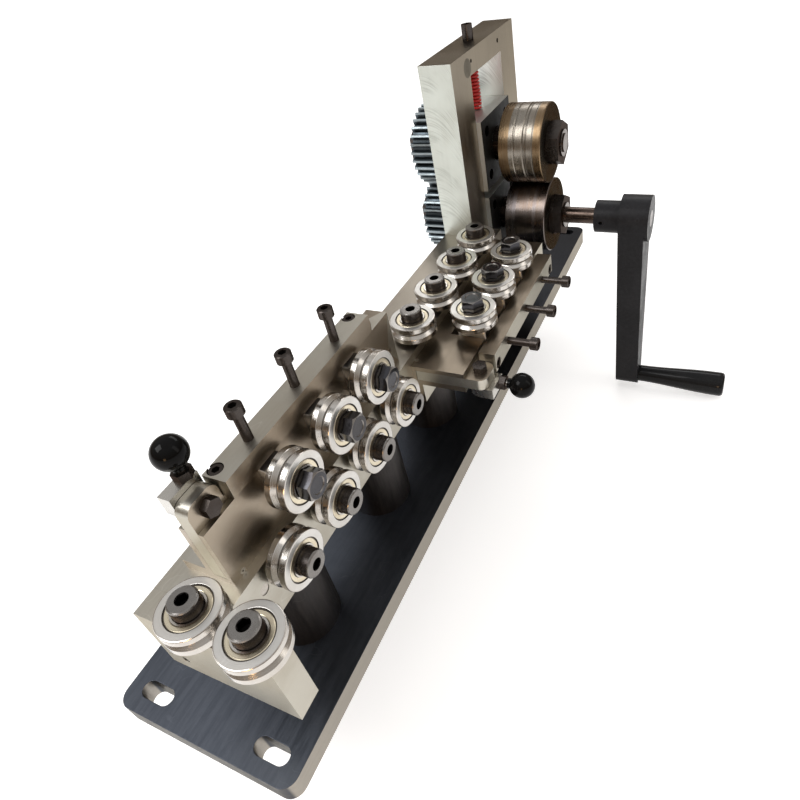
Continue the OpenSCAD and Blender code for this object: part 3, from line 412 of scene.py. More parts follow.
def steel(name, base, stain, shine, stretch, smooth, dull, metallic=1.0, blotch=18.0,
          stain_amount=0.6, shine_amount=0.25, scratch_amount=0.35, bump=0.00002, turned=False):
    """Worked steel: stained in blotches, lighter along its lines, with a few scratches."""
    made = Finish(name, metallic, turned)
    tree = made.tree
    blotches = made.pattern(blotch_group, "Blotches", made.place, Scale=blotch)
    lines = made.pattern(lines_group, "Lines", made.vector, Stretch=stretch)
    scratches = made.pattern(scratch_group, "Scratches", made.place, Scale=scratch_scale)
    tone = mix_colour(tree, math_node(tree, "MULTIPLY", blotches, stain_amount), base, stain)
    tone = mix_colour(tree, math_node(tree, "MULTIPLY", lines, shine_amount), tone, shine)
    tone = mix_colour(tree, math_node(tree, "MULTIPLY", scratches, scratch_amount), tone, shine)
    made.colour(tone)
    wear = math_node(tree, "MULTIPLY", math_node(tree, "ADD", blotches, lines), 0.5)
    made.rough(wear, smooth, dull)
    made.bump(lines, bump)
    made.tone = tone
    finishes[name] = made


# %% [markdown]
# Each row below is one finish: its base, stain and shine colours, how its grain is
# stretched, and its range of roughness. Steel that a grinder left is stretched along the
# cut, and a turned piece is stretched round its axis. Dark steel still mirrors the white
# ground where it is seen along its face, so some finishes get a darker tint there.

# %% Table of finishes
along_y = (1400.0, 12.0, 1400.0)
along_z = (1400.0, 1400.0, 12.0)
plain = (400.0, 400.0, 400.0)
round_way = (2600.0, 2600.0, 1.5)
steel("base_black", (0.082, 0.092, 0.112), (0.046, 0.052, 0.066), (0.14, 0.152, 0.18),
      (420.0, 30.0, 420.0), smooth=0.30, dull=0.46, metallic=0.9, blotch=16.0, shine_amount=0.2)
steel("post_black", (0.035, 0.031, 0.03), (0.02, 0.018, 0.018), (0.09, 0.08, 0.075),
      (500.0, 500.0, 30.0), smooth=0.3, dull=0.5, metallic=0.8)
steel("rail_steel", (0.43, 0.412, 0.365), (0.33, 0.295, 0.24), (0.55, 0.53, 0.48),
      along_y, smooth=0.28, dull=0.42, shine_amount=0.14)
steel("plate_steel", (0.66, 0.64, 0.61), (0.55, 0.52, 0.48), (0.75, 0.73, 0.70),
      along_y, smooth=0.28, dull=0.42, shine_amount=0.12, stain_amount=0.5)
# plate_front_reflection: the plates' ground outward faces, browner with a painted warm reflection.
steel("plate_front_reflection", (0.335, 0.285, 0.225), (0.235, 0.18, 0.125), (0.43, 0.385, 0.32),
      along_y, smooth=0.28, dull=0.40, shine_amount=0.07, scratch_amount=0.2)
steel("stand_steel", (0.30, 0.28, 0.25), (0.24, 0.215, 0.19), (0.40, 0.38, 0.35),
      along_z, smooth=0.30, dull=0.44, shine_amount=0.15)
steel("screw_black", (0.062, 0.054, 0.050), (0.040, 0.031, 0.026), (0.10, 0.095, 0.095),
      plain, smooth=0.24, dull=0.36, metallic=0.9, blotch=70.0, scratch_amount=0.1,
      shine_amount=0.12, bump=0.000004)
steel("bolt_black", (0.050, 0.050, 0.056), (0.030, 0.026, 0.025), (0.085, 0.085, 0.095),
      plain, smooth=0.12, dull=0.22, metallic=0.95, blotch=50.0, scratch_amount=0.05,
      shine_amount=0.1, bump=0.000002)
steel("block_face", (0.018, 0.017, 0.016), (0.010, 0.010, 0.010), (0.035, 0.034, 0.032),
      plain, smooth=0.36, dull=0.5, metallic=0.0, blotch=50.0, scratch_amount=0.1,
      shine_amount=0.12, bump=0.000004)
steel("plug_grey", (0.17, 0.16, 0.14), (0.12, 0.11, 0.095), (0.24, 0.23, 0.21),
      plain, smooth=0.3, dull=0.42, blotch=90.0, shine_amount=0.12)
# screw_rim_highlight: a painted highlight on the rims and chamfers of screw and bolt heads.
steel("screw_rim_highlight", (0.20, 0.19, 0.18), (0.13, 0.115, 0.105), (0.30, 0.29, 0.28),
      plain, smooth=0.24, dull=0.36, metallic=0.95, blotch=70.0, scratch_amount=0.1,
      shine_amount=0.12, bump=0.000004)
# socket_dark: painted shade, near black, for the insides of screw sockets and of holes.
steel("socket_dark", (0.010, 0.009, 0.009), (0.006, 0.006, 0.006), (0.02, 0.02, 0.02),
      plain, smooth=0.4, dull=0.6, blotch=70.0, scratch_amount=0.0, shine_amount=0.1)
steel("hub_bright", (0.40, 0.37, 0.33), (0.25, 0.21, 0.17), (0.62, 0.6, 0.57),
      plain, smooth=0.16, dull=0.3)
steel("lever_plated", (0.50, 0.485, 0.455), (0.42, 0.40, 0.36), (0.62, 0.61, 0.59),
      plain, smooth=0.24, dull=0.32, shine_amount=0.1, scratch_amount=0.1, bump=0.0)
steel("knob_black", (0.003, 0.003, 0.003), (0.004, 0.004, 0.004), (0.008, 0.008, 0.008),
      plain, smooth=0.05, dull=0.12, metallic=0.0, blotch=60.0, bump=0.000001)
steel("spring_red", (0.52, 0.010, 0.008), (0.34, 0.006, 0.006), (0.66, 0.05, 0.04),
      plain, smooth=0.28, dull=0.42, metallic=0.0, blotch=300.0)
steel("gear_dark", (0.060, 0.075, 0.087), (0.028, 0.036, 0.042), (0.17, 0.195, 0.215),
      (60.0, 900.0, 900.0), smooth=0.30, dull=0.5, metallic=0.9, blotch=160.0)
steel("shaft_brown", (0.070, 0.050, 0.041), (0.045, 0.032, 0.027), (0.15, 0.12, 0.10),
      (30.0, 900.0, 900.0), smooth=0.18, dull=0.36, blotch=90.0)
steel("block_black", (0.50, 0.51, 0.49), (0.38, 0.37, 0.34), (0.66, 0.67, 0.65),
      plain, smooth=0.45, dull=0.6)
steel("crank_paint", (0.016, 0.016, 0.018), (0.010, 0.010, 0.011), (0.034, 0.034, 0.037),
      plain, smooth=0.34, dull=0.5, metallic=0.0, blotch=40.0, bump=0.00003)
steel("grip_black", (0.008, 0.008, 0.009), (0.012, 0.012, 0.012), (0.03, 0.03, 0.03),
      along_y, smooth=0.08, dull=0.2, metallic=0.0, blotch=50.0, bump=0.000002)
steel("rim_chrome", (0.50, 0.475, 0.445), (0.38, 0.345, 0.30), (0.68, 0.66, 0.63),
      round_way, smooth=0.13, dull=0.26, blotch=60.0, turned=True)
steel("ring_face", (0.56, 0.545, 0.52), (0.46, 0.435, 0.40), (0.68, 0.67, 0.65),
      round_way, smooth=0.28, dull=0.42, blotch=60.0, turned=True)
steel("shield_cream", (0.62, 0.555, 0.42), (0.52, 0.44, 0.31), (0.72, 0.67, 0.56),
      round_way, smooth=0.24, dull=0.38, blotch=80.0, turned=True)
steel("seam_dark", (0.05, 0.04, 0.03), (0.02, 0.018, 0.015), (0.12, 0.10, 0.08),
      round_way, smooth=0.4, dull=0.6, metallic=0.6, turned=True)
steel("roll_bronze", (0.20, 0.135, 0.075), (0.10, 0.064, 0.034), (0.32, 0.25, 0.17),
      round_way, smooth=0.24, dull=0.38, blotch=40.0, turned=True)
steel("roll_bright", (0.215, 0.192, 0.162), (0.14, 0.112, 0.082), (0.36, 0.34, 0.31),
      round_way, smooth=0.22, dull=0.36, blotch=60.0, turned=True)
steel("roll_face", (0.12, 0.107, 0.09), (0.085, 0.073, 0.06), (0.18, 0.165, 0.145),
      round_way, smooth=0.28, dull=0.42, blotch=60.0, turned=True)
steel("roll_dark", (0.115, 0.098, 0.088), (0.16, 0.11, 0.078), (0.25, 0.24, 0.26),
      (260.0, 260.0, 1.2), smooth=0.22, dull=0.36, blotch=40.0, stain_amount=0.7,
      shine_amount=0.42, turned=True)
edge_level = {"knob_black": 0.08, "grip_black": 0.12, "crank_paint": 0.10, "block_face": 0.04}
for name, level in edge_level.items():
    finishes[name].shader.inputs["Specular IOR Level"].default_value = level
edge_tint = {
    "roll_face": (0.20, 0.18, 0.15), "screw_black": (0.35, 0.33, 0.32), "socket_dark": (0.05, 0.05, 0.05),
    "stand_steel": (0.55, 0.51, 0.45), "plate_steel": (0.60, 0.56, 0.50), "base_black": (0.62, 0.59, 0.53),
    "gear_dark": (0.5, 0.53, 0.55), "plug_grey": (0.35, 0.33, 0.30), "rail_steel": (0.78, 0.75, 0.68)}
for name, tint in edge_tint.items():
    finishes[name].shader.inputs["Specular Tint"].default_value = (*tint, 1)
print("finishes:", len(finishes))

# %% [markdown]
# Some sides of parts get painted light and shade. A mask by the way a face looks, or by its place along the
# piece, mixes a second colour in there, and the solid stays in one piece. The stand's ends, the wall seen
# through its window, the bearing blocks' sides facing the inlet and the base's right side are painted
# lighter; the stand's top and right side, the plates' right faces and upward fronts, the rail's top away
# from the inlet and the base towards the drive end are painted darker. The arcs on the stand's ends are real
# tool marks.

# %% Painted light and shade on some sides
def recolour(finish, mask, colour, amount=1.0):
    """Mixes another colour into a finish where the mask is white."""
    made = finishes[finish]
    share = math_node(made.tree, "MULTIPLY", mask, amount)
    made.tone = mix_colour(made.tree, share, made.tone, colour)
    made.colour(made.tone)


past_window, shaded_height = (0.12, 0.13), (0.09, 0.20)
far_from_inlet, towards_drive = (-0.11, -0.03), (-0.24, 0.06)
stand = finishes["stand_steel"]
# Painted light: the stand's ends are drawn lighter and bluer than its sides.
ends = math_node(stand.tree, "MAXIMUM", stand.facing("Y", -1), stand.facing("Y", 1))
recolour("stand_steel", ends, (0.56, 0.59, 0.545), 0.85)
# Painted shade: the stand's top faces are drawn darker.
recolour("stand_steel", stand.facing("Z", 1), (0.12, 0.108, 0.095), 0.9)
# Painted light: the far wall seen through the window is drawn almost white, though it lies in shade.
lit_window_wall = math_node(stand.tree, "MULTIPLY", stand.facing("Y", -1), stand.along("Y", *past_window))
recolour("stand_steel", lit_window_wall, (0.80, 0.83, 0.80), 0.9)
# Painted shade: the stand's right face is drawn darker, and darker still high up.
shaded_right_side = stand.facing("X", 1)
recolour("stand_steel", shaded_right_side, (0.40, 0.365, 0.315), 0.9)
shaded_high_up = math_node(stand.tree, "MULTIPLY", shaded_right_side, stand.along("Z", *shaded_height))
recolour("stand_steel", shaded_high_up, (0.24, 0.215, 0.18), 0.9)
arcs = math_node(stand.tree, "MULTIPLY", stand.pattern(mill_group, "Arcs", stand.place), ends)
recolour("stand_steel", arcs, (0.30, 0.31, 0.28), 0.5)
arc_depth = 0.00006
stand.bump(arcs, arc_depth)

# Painted shade: the plates' outward faces that look up are drawn darker.
recolour("plate_front_reflection", finishes["plate_front_reflection"].facing("Z", 1), (0.205, 0.17, 0.13), 0.85)
# Painted shade: the plates' right faces are drawn darker.
recolour("plate_steel", finishes["plate_steel"].facing("X", 1), (0.36, 0.33, 0.285), 0.85)
# Painted light: the bearing blocks' sides facing the inlet are drawn nearly white.
recolour("block_black", finishes["block_black"].facing("Y", -1), (0.72, 0.75, 0.75), 0.9)
# Painted shade: the rail's top is drawn darker away from the inlet.
rail = finishes["rail_steel"]
shaded_far_top = math_node(rail.tree, "MULTIPLY", rail.facing("Z", 1), rail.along("Y", *far_from_inlet))
recolour("rail_steel", shaded_far_top, (0.27, 0.24, 0.205), 0.85)
# Painted reflection: the base is drawn nearly black towards the drive end, as if mirroring a dark room.
base = finishes["base_black"]
recolour("base_black", base.along("Y", *towards_drive), (0.014, 0.015, 0.019), 0.92)
# Painted reflection: the base's right side is drawn light grey, as if mirroring the white ground.
recolour("base_black", base.facing("X", 1), (0.36, 0.335, 0.30), 0.9)
print("second colours on the stand, plates, blocks, rail and base")

# %% [markdown]
# The tips of the gears' teeth get a painted highlight, a lighter band at the tip radius. A tip is a distance
# from the gear's axis, so the mask measures that distance, and the two gears share one finish.

# %% Painted highlight on the tips of the teeth
gear = finishes["gear_dark"]
tip_start, tip_full, tip_over, tip_end = -0.0012, -0.0003, 0.0003, 0.0006
tip_highlight = None
for node in ("upper_gear", "lower_gear"):
    low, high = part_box(node)
    flat = gear.tree.nodes.new("ShaderNodeVectorMath")
    flat.operation = "MULTIPLY"
    flat.inputs[1].default_value = (0, 1, 1)
    gear.tree.links.new(gear.place, flat.inputs[0])
    reach = gear.tree.nodes.new("ShaderNodeVectorMath")
    reach.operation = "DISTANCE"
    reach.inputs[1].default_value = (0, (low.y + high.y) / 2, (low.z + high.z) / 2)
    gear.tree.links.new(flat.outputs[0], reach.inputs[0])
    tip = (high.z - low.z) / 2
    away = reach.outputs["Value"]
    band = range_node(gear.tree, away, tip + tip_start, tip + tip_full)
    beyond = range_node(gear.tree, away, tip + tip_over, tip + tip_end, 1.0, 0.0)
    band = math_node(gear.tree, "MULTIPLY", band, beyond)
    tip_highlight = band if tip_highlight is None else math_node(gear.tree, "MAXIMUM", tip_highlight, band)
# Painted highlight: a light blue-grey band at the tips of the teeth.
recolour("gear_dark", tip_highlight, (0.36, 0.41, 0.43), 0.75)
print("gear tip radius:", round(tip, 4))

# %% [markdown]
# The solids arrive as loose triangles. A weld joins them for show, and a small node tree
# keeps only the sharp edges crisp, so that curves look smooth and corners stay corners.

# %% Crisp edges
def add_input(tree, name, kind, value):
    """Gives a node tree a named input with its usual value."""
    socket = tree.interface.new_socket(name, in_out="INPUT", socket_type=kind)
    socket.default_value = value


crease = 0.5
crisp_tree = bpy.data.node_groups.new("crisp_edges", "GeometryNodeTree")
crisp_tree.interface.new_socket("Solid", in_out="INPUT", socket_type="NodeSocketGeometry")
add_input(crisp_tree, "Angle", NUM, crease)
crisp_tree.interface.new_socket("Solid", in_out="OUTPUT", socket_type="NodeSocketGeometry")
g_in = crisp_tree.nodes.new("NodeGroupInput")
g_out = crisp_tree.nodes.new("NodeGroupOutput")
fold = crisp_tree.nodes.new("GeometryNodeInputMeshEdgeAngle")
gentle = crisp_tree.nodes.new("FunctionNodeCompare")
gentle.data_type = "FLOAT"
gentle.operation = "LESS_EQUAL"
edge_shade = crisp_tree.nodes.new("GeometryNodeSetShadeSmooth")
edge_shade.domain = "EDGE"
wire_up(crisp_tree, (fold, "Unsigned Angle", gentle, 0), (g_in, "Angle", gentle, 1),
        (gentle, 0, edge_shade, "Shade Smooth"), (g_in, "Solid", edge_shade, "Geometry"),
        (edge_shade, "Geometry", g_out, "Solid"))
print("crisp edges over", round(math.degrees(crease)), "degrees")

# %% [markdown]
# Each solid takes the finish of its slot. A real edge catches a line of light, so the base,
# the front block and the stand also get their edges broken, as a file does. The bevel needs
# whole faces, so the triangles of each flat face are dissolved before it.

# %% Dress the solids
finish_of_slot = {"ground_steel": "rail_steel", "seat_steel": "lever_plated",
                  "slide_steel": "plate_steel", "roller_bright": "hub_bright"}
broken_edges = {"base_plate": 0.0006, "front_block": 0.0003, "drive_frame": 0.0005}
level_within, sharp_over, level_weight = 0.3, 38, 90
weld_gap = 0.000001


def join_triangles(piece):
    """Joins a solid's loose triangles for show, with crisp edges and smooth curves."""
    piece.data.polygons.foreach_set("use_smooth", [True] * len(piece.data.polygons))
    weld = piece.modifiers.new("join", "WELD")
    weld.merge_threshold = weld_gap
    crisp = piece.modifiers.new("crisp", "NODES")
    crisp.node_group = crisp_tree


def break_edges(piece, width):
    """Breaks the sharp edges of a plain solid, as a file does."""
    piece.modifiers.remove(piece.modifiers["crisp"])
    flat = piece.modifiers.new("flats", "DECIMATE")
    flat.decimate_type = "DISSOLVE"
    flat.angle_limit = math.radians(level_within)
    bevel = piece.modifiers.new("edges", "BEVEL")
    bevel.width = width
    bevel.segments = 2
    bevel.limit_method = "ANGLE"
    bevel.angle_limit = math.radians(sharp_over)
    weigh = piece.modifiers.new("level faces", "WEIGHTED_NORMAL")
    weigh.mode = "FACE_AREA"
    weigh.weight = level_weight


slot_of_node = {part["node"]: part["material_slot"] for part in frame["record"]["subparts"]}
for name, piece in nodes.items():
    slot = slot_of_node[name]
    recipe = finishes[finish_of_slot.get(slot, slot)]
    piece.data.materials.clear()
    piece.data.materials.append(recipe.material)
    join_triangles(piece)
for name, width in broken_edges.items():
    break_edges(nodes[name], width)
print("dressed solids:", len(nodes))

# %% [markdown]
# One solid can carry more than one finish. The plates of the roller banks are browner on the ground faces
# that look outwards, a painted warm reflection, and the bearing blocks have a dull black face whose holes
# are drawn near black, painted shade. The faces are sorted by where their middles lie and which way they
# look, and the solid's own points stay as they are.

# %% Painted reflection on the plate fronts, painted shade in the block holes
def face_finish(node, finish, test):
    """Gives the faces whose middle and direction pass the test another finish."""
    mesh = nodes[node].data
    mesh.materials.append(finishes[finish].material)
    index = len(mesh.materials) - 1
    count = 0
    for face in mesh.polygons:
        if test(face.center / mm, face.normal):
            face.material_index = index
            count += 1
    print(node, finish, count, "faces")


bank_split = (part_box("vertical_carriage")[1].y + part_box("side_carriage")[0].y) / 2 / mm
facing = 0.9
for node in ("cover_plates", "vertical_carriage", "side_carriage", "back_plates"):
    ends_too = "carriage" not in node
    # Painted reflection: outward faces, and the inlet ends of cover and back plates, get the browner finish.
    face_finish(node, "plate_front_reflection", lambda p, n: (n.x if p.y < bank_split else n.z) > facing
                or (ends_too and n.y < -facing))
hole_y, hole_z, hole_radius = 20.7, 17.0, 4.0
wall_slack = 0.02
for node, gear_node in (("lower_bearing_block", "lower_gear"), ("upper_bearing_block", "upper_gear")):
    face_finish(node, "block_face", lambda p, n: n.x > facing)
    axle = sum(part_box(gear_node), Vector()) / 2 / mm
    # Painted shade: the faces in the block's holes are drawn near black.
    face_finish(node, "socket_dark", lambda p, n: p.x > 0 and math.hypot(
        abs(p.y - axle.y) - hole_y, abs(p.z - axle.z) - hole_z) < hole_radius + wall_slack)

# %% [markdown]
# The nut on each lever's stem, the nuts of the drive shafts and the screws in the rail are
# part of larger solids. Each is found by its distance from the rail or along its own axis,
# and the turned end of a shaft by its distance from that axis too.

# %% Nuts, screws and shaft ends
rail_right, rail_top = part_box("rail")[1].x / mm, 102.4
nut_low, nut_high, stem_radius = 52.3, 56.3, 2.6
nut_slack, skin = 0.1, 0.05
for node, axis, edge in (("vertical_lever", 2, rail_top), ("side_lever", 0, rail_right)):
    knob_low, knob_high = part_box(node.replace("lever", "knob"))
    stem = (knob_low + knob_high) / 2 / mm
    face_finish(node, "screw_black", lambda p, n: nut_low - nut_slack < p[axis] - edge < nut_high + nut_slack
                and sum((p[i] - stem[i]) ** 2 for i in range(3) if i != axis) > stem_radius ** 2
                and not (abs(p[axis] - edge - nut_low) < skin))
stud_side, stud_height, inlet_end = 20, 88, -200
face_finish("rail_screws", "hub_bright", lambda p, n: p.x > stud_side and p.z > stud_height)
face_finish("rail_screws", "plug_grey", lambda p, n: p.y < inlet_end and p.z < stud_height)
drive_y = (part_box("upper_roll")[0].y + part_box("upper_roll")[1].y) / 2 / mm
nut_right, nut_left, end_right, end_radius = 64.3, -30, 68, 9.2
for node in ("lower_shaft", "upper_shaft"):
    face_finish(node, "screw_black", lambda p, n: p.x > nut_right or p.x < nut_left)
    axis_z = (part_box(node)[0].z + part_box(node)[1].z) / 2 / mm
    face_finish(node, "shaft_brown", lambda p, n: p.x > end_right
                and math.hypot(p.y - drive_y, p.z - axis_z) < end_radius)

# %% [markdown]
# Turned pieces are one outline swept round an axis. Building the rings of points one by one lets each band
# of the outline have its own finish, and a ring may be a hexagon instead of a circle, so the same few lines
# also make bolt heads and socket screws. Every point keeps its radius and its place along the axis in an
# attribute, for the tool marks, and every face keeps the number of its band.

# %% Turning helper
ring_gap, ring_crease = 0.0000005, 14


def hexagon(across_flats):
    """The distance from the middle to the edge of a hexagon, by angle."""
    def reach(angle):
        turn = (angle + math.pi / 6) % (math.pi / 3) - math.pi / 6
        return across_flats / 2 / math.cos(turn)
    return reach


def turned(name, rings, place, aim, segments=96, hollow=False):
    """A mesh from rings of (radius, along, finish of the band that follows), in millimetres."""
    aim = Vector(aim).normalized()
    side = aim.orthogonal().normalized()
    across = aim.cross(side)
    points, ways, faces, bands = [], [], [], []
    for radius, along, band in rings:
        for k in range(segments):
            angle = 2 * math.pi * k / segments
            r = radius(angle) if callable(radius) else radius
            a = along(angle) if callable(along) else along
            out = side * math.cos(angle) + across * math.sin(angle)
            points.append((Vector(place) + aim * a + out * r) * mm)
            ways.append((r * mm, a * mm, math.sin(angle) * mm * 10))
    finish_list = []
    last = len(rings) if hollow else len(rings) - 1
    for j in range(last):
        band = rings[j][2]
        if band not in finish_list:
            finish_list.append(band)
        for k in range(segments):
            here, there = j * segments, (j + 1) % len(rings) * segments
            turn = (k + 1) % segments
            faces.append((here + k, here + turn, there + turn, there + k))
            bands.append(finish_list.index(band))
    mesh = bpy.data.meshes.new(name)
    mesh.from_pydata(points, [], faces)
    mesh.polygons.foreach_set("material_index", bands)
    mesh.attributes.new("band", "INT", "FACE").data.foreach_set("value", bands)
    way = mesh.attributes.new("ring_way", "FLOAT_VECTOR", "POINT")
    way.data.foreach_set("vector", [x for w in ways for x in w])
    shape = bmesh.new()
    shape.from_mesh(mesh)
    bmesh.ops.remove_doubles(shape, verts=shape.verts, dist=ring_gap)
    bmesh.ops.recalc_face_normals(shape, faces=shape.faces)
    shape.to_mesh(mesh)
    shape.free()
    for band in finish_list:
        mesh.materials.append(finishes[band].material)
    mesh.polygons.foreach_set("use_smooth", [True] * len(mesh.polygons))
    mesh.set_sharp_from_angle(angle=math.radians(ring_crease))
    return in_scene(name, mesh)


def thin_axis(node):
    """A disc's middle in millimetres, its axis, half its thickness and its radius."""
    low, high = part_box(node)
    size = high - low
    axis = min(range(3), key=lambda i: size[i])
    aim = [0.0, 0.0, 0.0]
    aim[axis] = 1.0
    return (low + high) / 2 / mm, tuple(aim), size[axis] / 2 / mm, max(size) / 2 / mm


# %% [markdown]
# Each guide roller is a shielded ball bearing whose outer ring has a groove for the wire.
# From the rim to the middle there is polished steel, the outer ring's ground face, the dark
# seam round the pressed shield, the shield and the inner ring. The outline is drawn for one
# side and mirrored for the other.

# %% Guide rollers
def roller_rings(half, radius, bore):
    """The outline of a bearing roller, round and closed."""
    seam, shield, inner = radius * 0.735, radius * 0.70, bore + 0.9
    groove, depth = 2.0, 2.0
    side = [
        (bore, half, "rim_chrome"), (inner - 0.15, half, "seam_dark"),
        (inner, half - 0.45, "shield_cream"), (inner + 0.3, half - 0.35, "shield_cream"),
        (shield - 0.3, half - 0.3, "shield_cream"), (shield, half - 0.5, "seam_dark"),
        (seam, half - 0.5, "seam_dark"), (seam + 0.1, half - 0.05, "ring_face"),
        (seam + 0.25, half, "ring_face"), (radius - 0.55, half, "rim_chrome"),
        (radius - 0.2, half - 0.12, "rim_chrome"), (radius, half - 0.45, "rim_chrome"),
        (radius, groove + 0.25, "rim_chrome"), (radius - 0.1, groove, "rim_chrome")]
    bottom = [(radius - depth + 0.15, 0.2, "seam_dark"), (radius - depth, 0.0, "seam_dark"),
              (radius - depth + 0.15, -0.2, "rim_chrome")]
    far_bands = [band for r, a, band in reversed(side)][1:] + ["rim_chrome"]
    far_side = [(r, -a, band) for (r, a, near), band in zip(reversed(side), far_bands)]
    return side + bottom + far_side


roller_bore = 7.05
roller_nodes = [name for name in nodes
                if "roller_" in name and name not in ("roller_cap_screws", "roller_hubs")]
for name in roller_nodes:
    place, aim, half, radius = thin_axis(name)
    rings = roller_rings(half, radius, roller_bore)
    piece = turned(name + "_bearing", rings, place, aim, hollow=True)
    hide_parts(name)
    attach(piece, name)
print("bearing rollers:", len(roller_nodes))

# %% [markdown]
# The two drive rolls are plain turned drums. The upper one has a bronze tone at its ends
# and is worn bright between them, with four grooves of different widths for the wire. The
# lower one is smooth and carries the brown and blue colours of hardened steel.

# %% Drive rolls
roll_bore, roll_edge = 9.0, 0.6
bright_from, bright_to = -8.4, 10.8
grooves = ((-4.3, 0.8, 0.5), (3.4, 1.2, 0.8), (4.9, 0.7, 0.5), (10.1, 0.5, 0.4))


def drum(name, node, body, outline):
    """Turns a roll in the place of its solid, and lets it ride with its shaft."""
    place, aim, half, radius = thin_axis(node)
    piece = turned(name, outline(half, radius), place, aim, segments=160, hollow=True)
    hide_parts(node)
    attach(piece, body)
    print(name, "radius", round(radius, 2))


def upper_outline(half, radius):
    """The grooved roll: a groove has a middle, half a width and a depth."""
    outline = [(roll_bore, -half, "roll_face"), (radius - roll_edge, -half, "roll_bronze"),
               (radius, -half + roll_edge, "roll_bronze"), (radius, bright_from, "roll_bright")]
    for middle, width, depth in grooves:
        outline += [(radius, middle - width, "roll_bright"),
                    (radius - depth, middle - width * 0.3, "roll_bright"),
                    (radius - depth, middle + width * 0.3, "roll_bright"),
                    (radius, middle + width, "roll_bright")]
    return outline + [(radius, bright_to, "roll_bronze"), (radius, half - roll_edge, "roll_bronze"),
                      (radius - roll_edge, half, "roll_face"), (roll_bore, half, "roll_face")]


def lower_outline(half, radius):
    """The smooth roll, with its two edges broken."""
    return [(roll_bore, -half, "roll_face"), (radius - roll_edge, -half, "roll_dark"),
            (radius, -half + roll_edge, "roll_dark"), (radius, half - roll_edge, "roll_dark"),
            (radius - roll_edge, half, "roll_face"), (roll_bore, half, "roll_face")]


drum("upper_drive_roll", "upper_roll", "upper_drive", upper_outline)
drum("lower_drive_roll", "lower_roll", "lower_drive", lower_outline)

# %% [markdown]
# The pressure spring is wound from round wire and painted red. Geometry Nodes draw a spiral
# from its height, its radius and its number of turns, and sweep the round section of the
# wire along it.

# %% Winding tree
turn_steps, wire_sides = 40, 14
spring_tree = bpy.data.node_groups.new("wound_spring", "GeometryNodeTree")
for name, usual in (("Height", 0.03), ("Radius", 0.004), ("Turns", 10.0), ("Wire", 0.0009)):
    add_input(spring_tree, name, NUM, usual)
add_input(spring_tree, "Place", VEC, (0, 0, 0))
spring_tree.interface.new_socket("Paint", in_out="INPUT", socket_type="NodeSocketMaterial")
spring_tree.interface.new_socket("Spring", in_out="OUTPUT", socket_type="NodeSocketGeometry")
g_in = spring_tree.nodes.new("NodeGroupInput")
g_out = spring_tree.nodes.new("NodeGroupOutput")
spiral = spring_tree.nodes.new("GeometryNodeCurveSpiral")
spiral.inputs["Resolution"].default_value = turn_steps
wire = spring_tree.nodes.new("GeometryNodeCurvePrimitiveCircle")
wire.inputs["Resolution"].default_value = wire_sides
sweep = spring_tree.nodes.new("GeometryNodeCurveToMesh")
sweep.inputs["Fill Caps"].default_value = True
seat = spring_tree.nodes.new("GeometryNodeTransform")
smooth = spring_tree.nodes.new("GeometryNodeSetShadeSmooth")
realize = spring_tree.nodes.new("GeometryNodeRealizeInstances")
dress = spring_tree.nodes.new("GeometryNodeSetMaterial")
wire_up(spring_tree,
        (g_in, "Turns", spiral, "Rotations"), (g_in, "Radius", spiral, "Start Radius"),
        (g_in, "Radius", spiral, "End Radius"), (g_in, "Height", spiral, "Height"),
        (g_in, "Wire", wire, "Radius"), (spiral, "Curve", sweep, "Curve"),
        (wire, "Curve", sweep, "Profile Curve"), (sweep, "Mesh", seat, "Geometry"),
        (g_in, "Place", seat, "Translation"), (seat, "Geometry", smooth, "Geometry"),
        (smooth, "Geometry", realize, "Geometry"), (realize, "Geometry", dress, "Geometry"),
        (g_in, "Paint", dress, "Material"), (dress, "Geometry", g_out, "Spring"))
print("winding nodes:", len(spring_tree.nodes))

# %% [markdown]
# The lower end of the spring sits on the upper bearing block and its upper end under the seat of the
# pressure screw. So it's drawn in two halves that meet in the middle, and both halves ride on the frame.

# %% Pressure spring
def grown(name, tree, source, **values):
    """Runs a node tree on an object and keeps its result as a plain mesh."""
    holder = in_scene(name + "_seed", source)
    modifier = holder.modifiers.new("grow", "NODES")
    modifier.node_group = tree
    names = {item.name: item.identifier for item in tree.interface.items_tree
             if item.in_out == "INPUT"}
    for key, value in values.items():
        modifier[names[key]] = value
    graph = bpy.context.evaluated_depsgraph_get()
    mesh = bpy.data.meshes.new_from_object(holder.evaluated_get(graph))
    mesh.name = name
    bpy.data.objects.remove(holder)
    return in_scene(name, mesh)


low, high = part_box("pressure_spring")
wire_half, half_turns = 0.00105, 6.0
spring_x, spring_y, spring_middle = (low + high) / 2
half_height = (high.z - low.z) / 2 - wire_half
for name, foot, joint in (("red_spring_low", low.z + wire_half, "upper_block_lift"),
                          ("red_spring_high", spring_middle, "pressure_seat_travel")):
    coil = grown(name, spring_tree, bpy.data.meshes.new(name + "_seed"), Height=half_height,
                 Radius=(high.x - low.x) / 2 - wire_half, Turns=half_turns, Wire=wire_half,
                 Place=(spring_x, spring_y, foot), Paint=finishes["spring_red"].material)
    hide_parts("pressure_spring")
    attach(coil, "frame")
    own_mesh(coil)
    print(name, "faces:", len(coil.data.polygons))

# %% [markdown]
# The screws repeat, so one screw is turned at the origin and Geometry Nodes stand it on a
# point for each place, along that point's direction, with a random turn from a fixed seed.
# The number of a face's band picks its finish: the body, the rim, which carries a painted highlight, and the
# socket, which carries painted shade. The result is one plain mesh for each body.

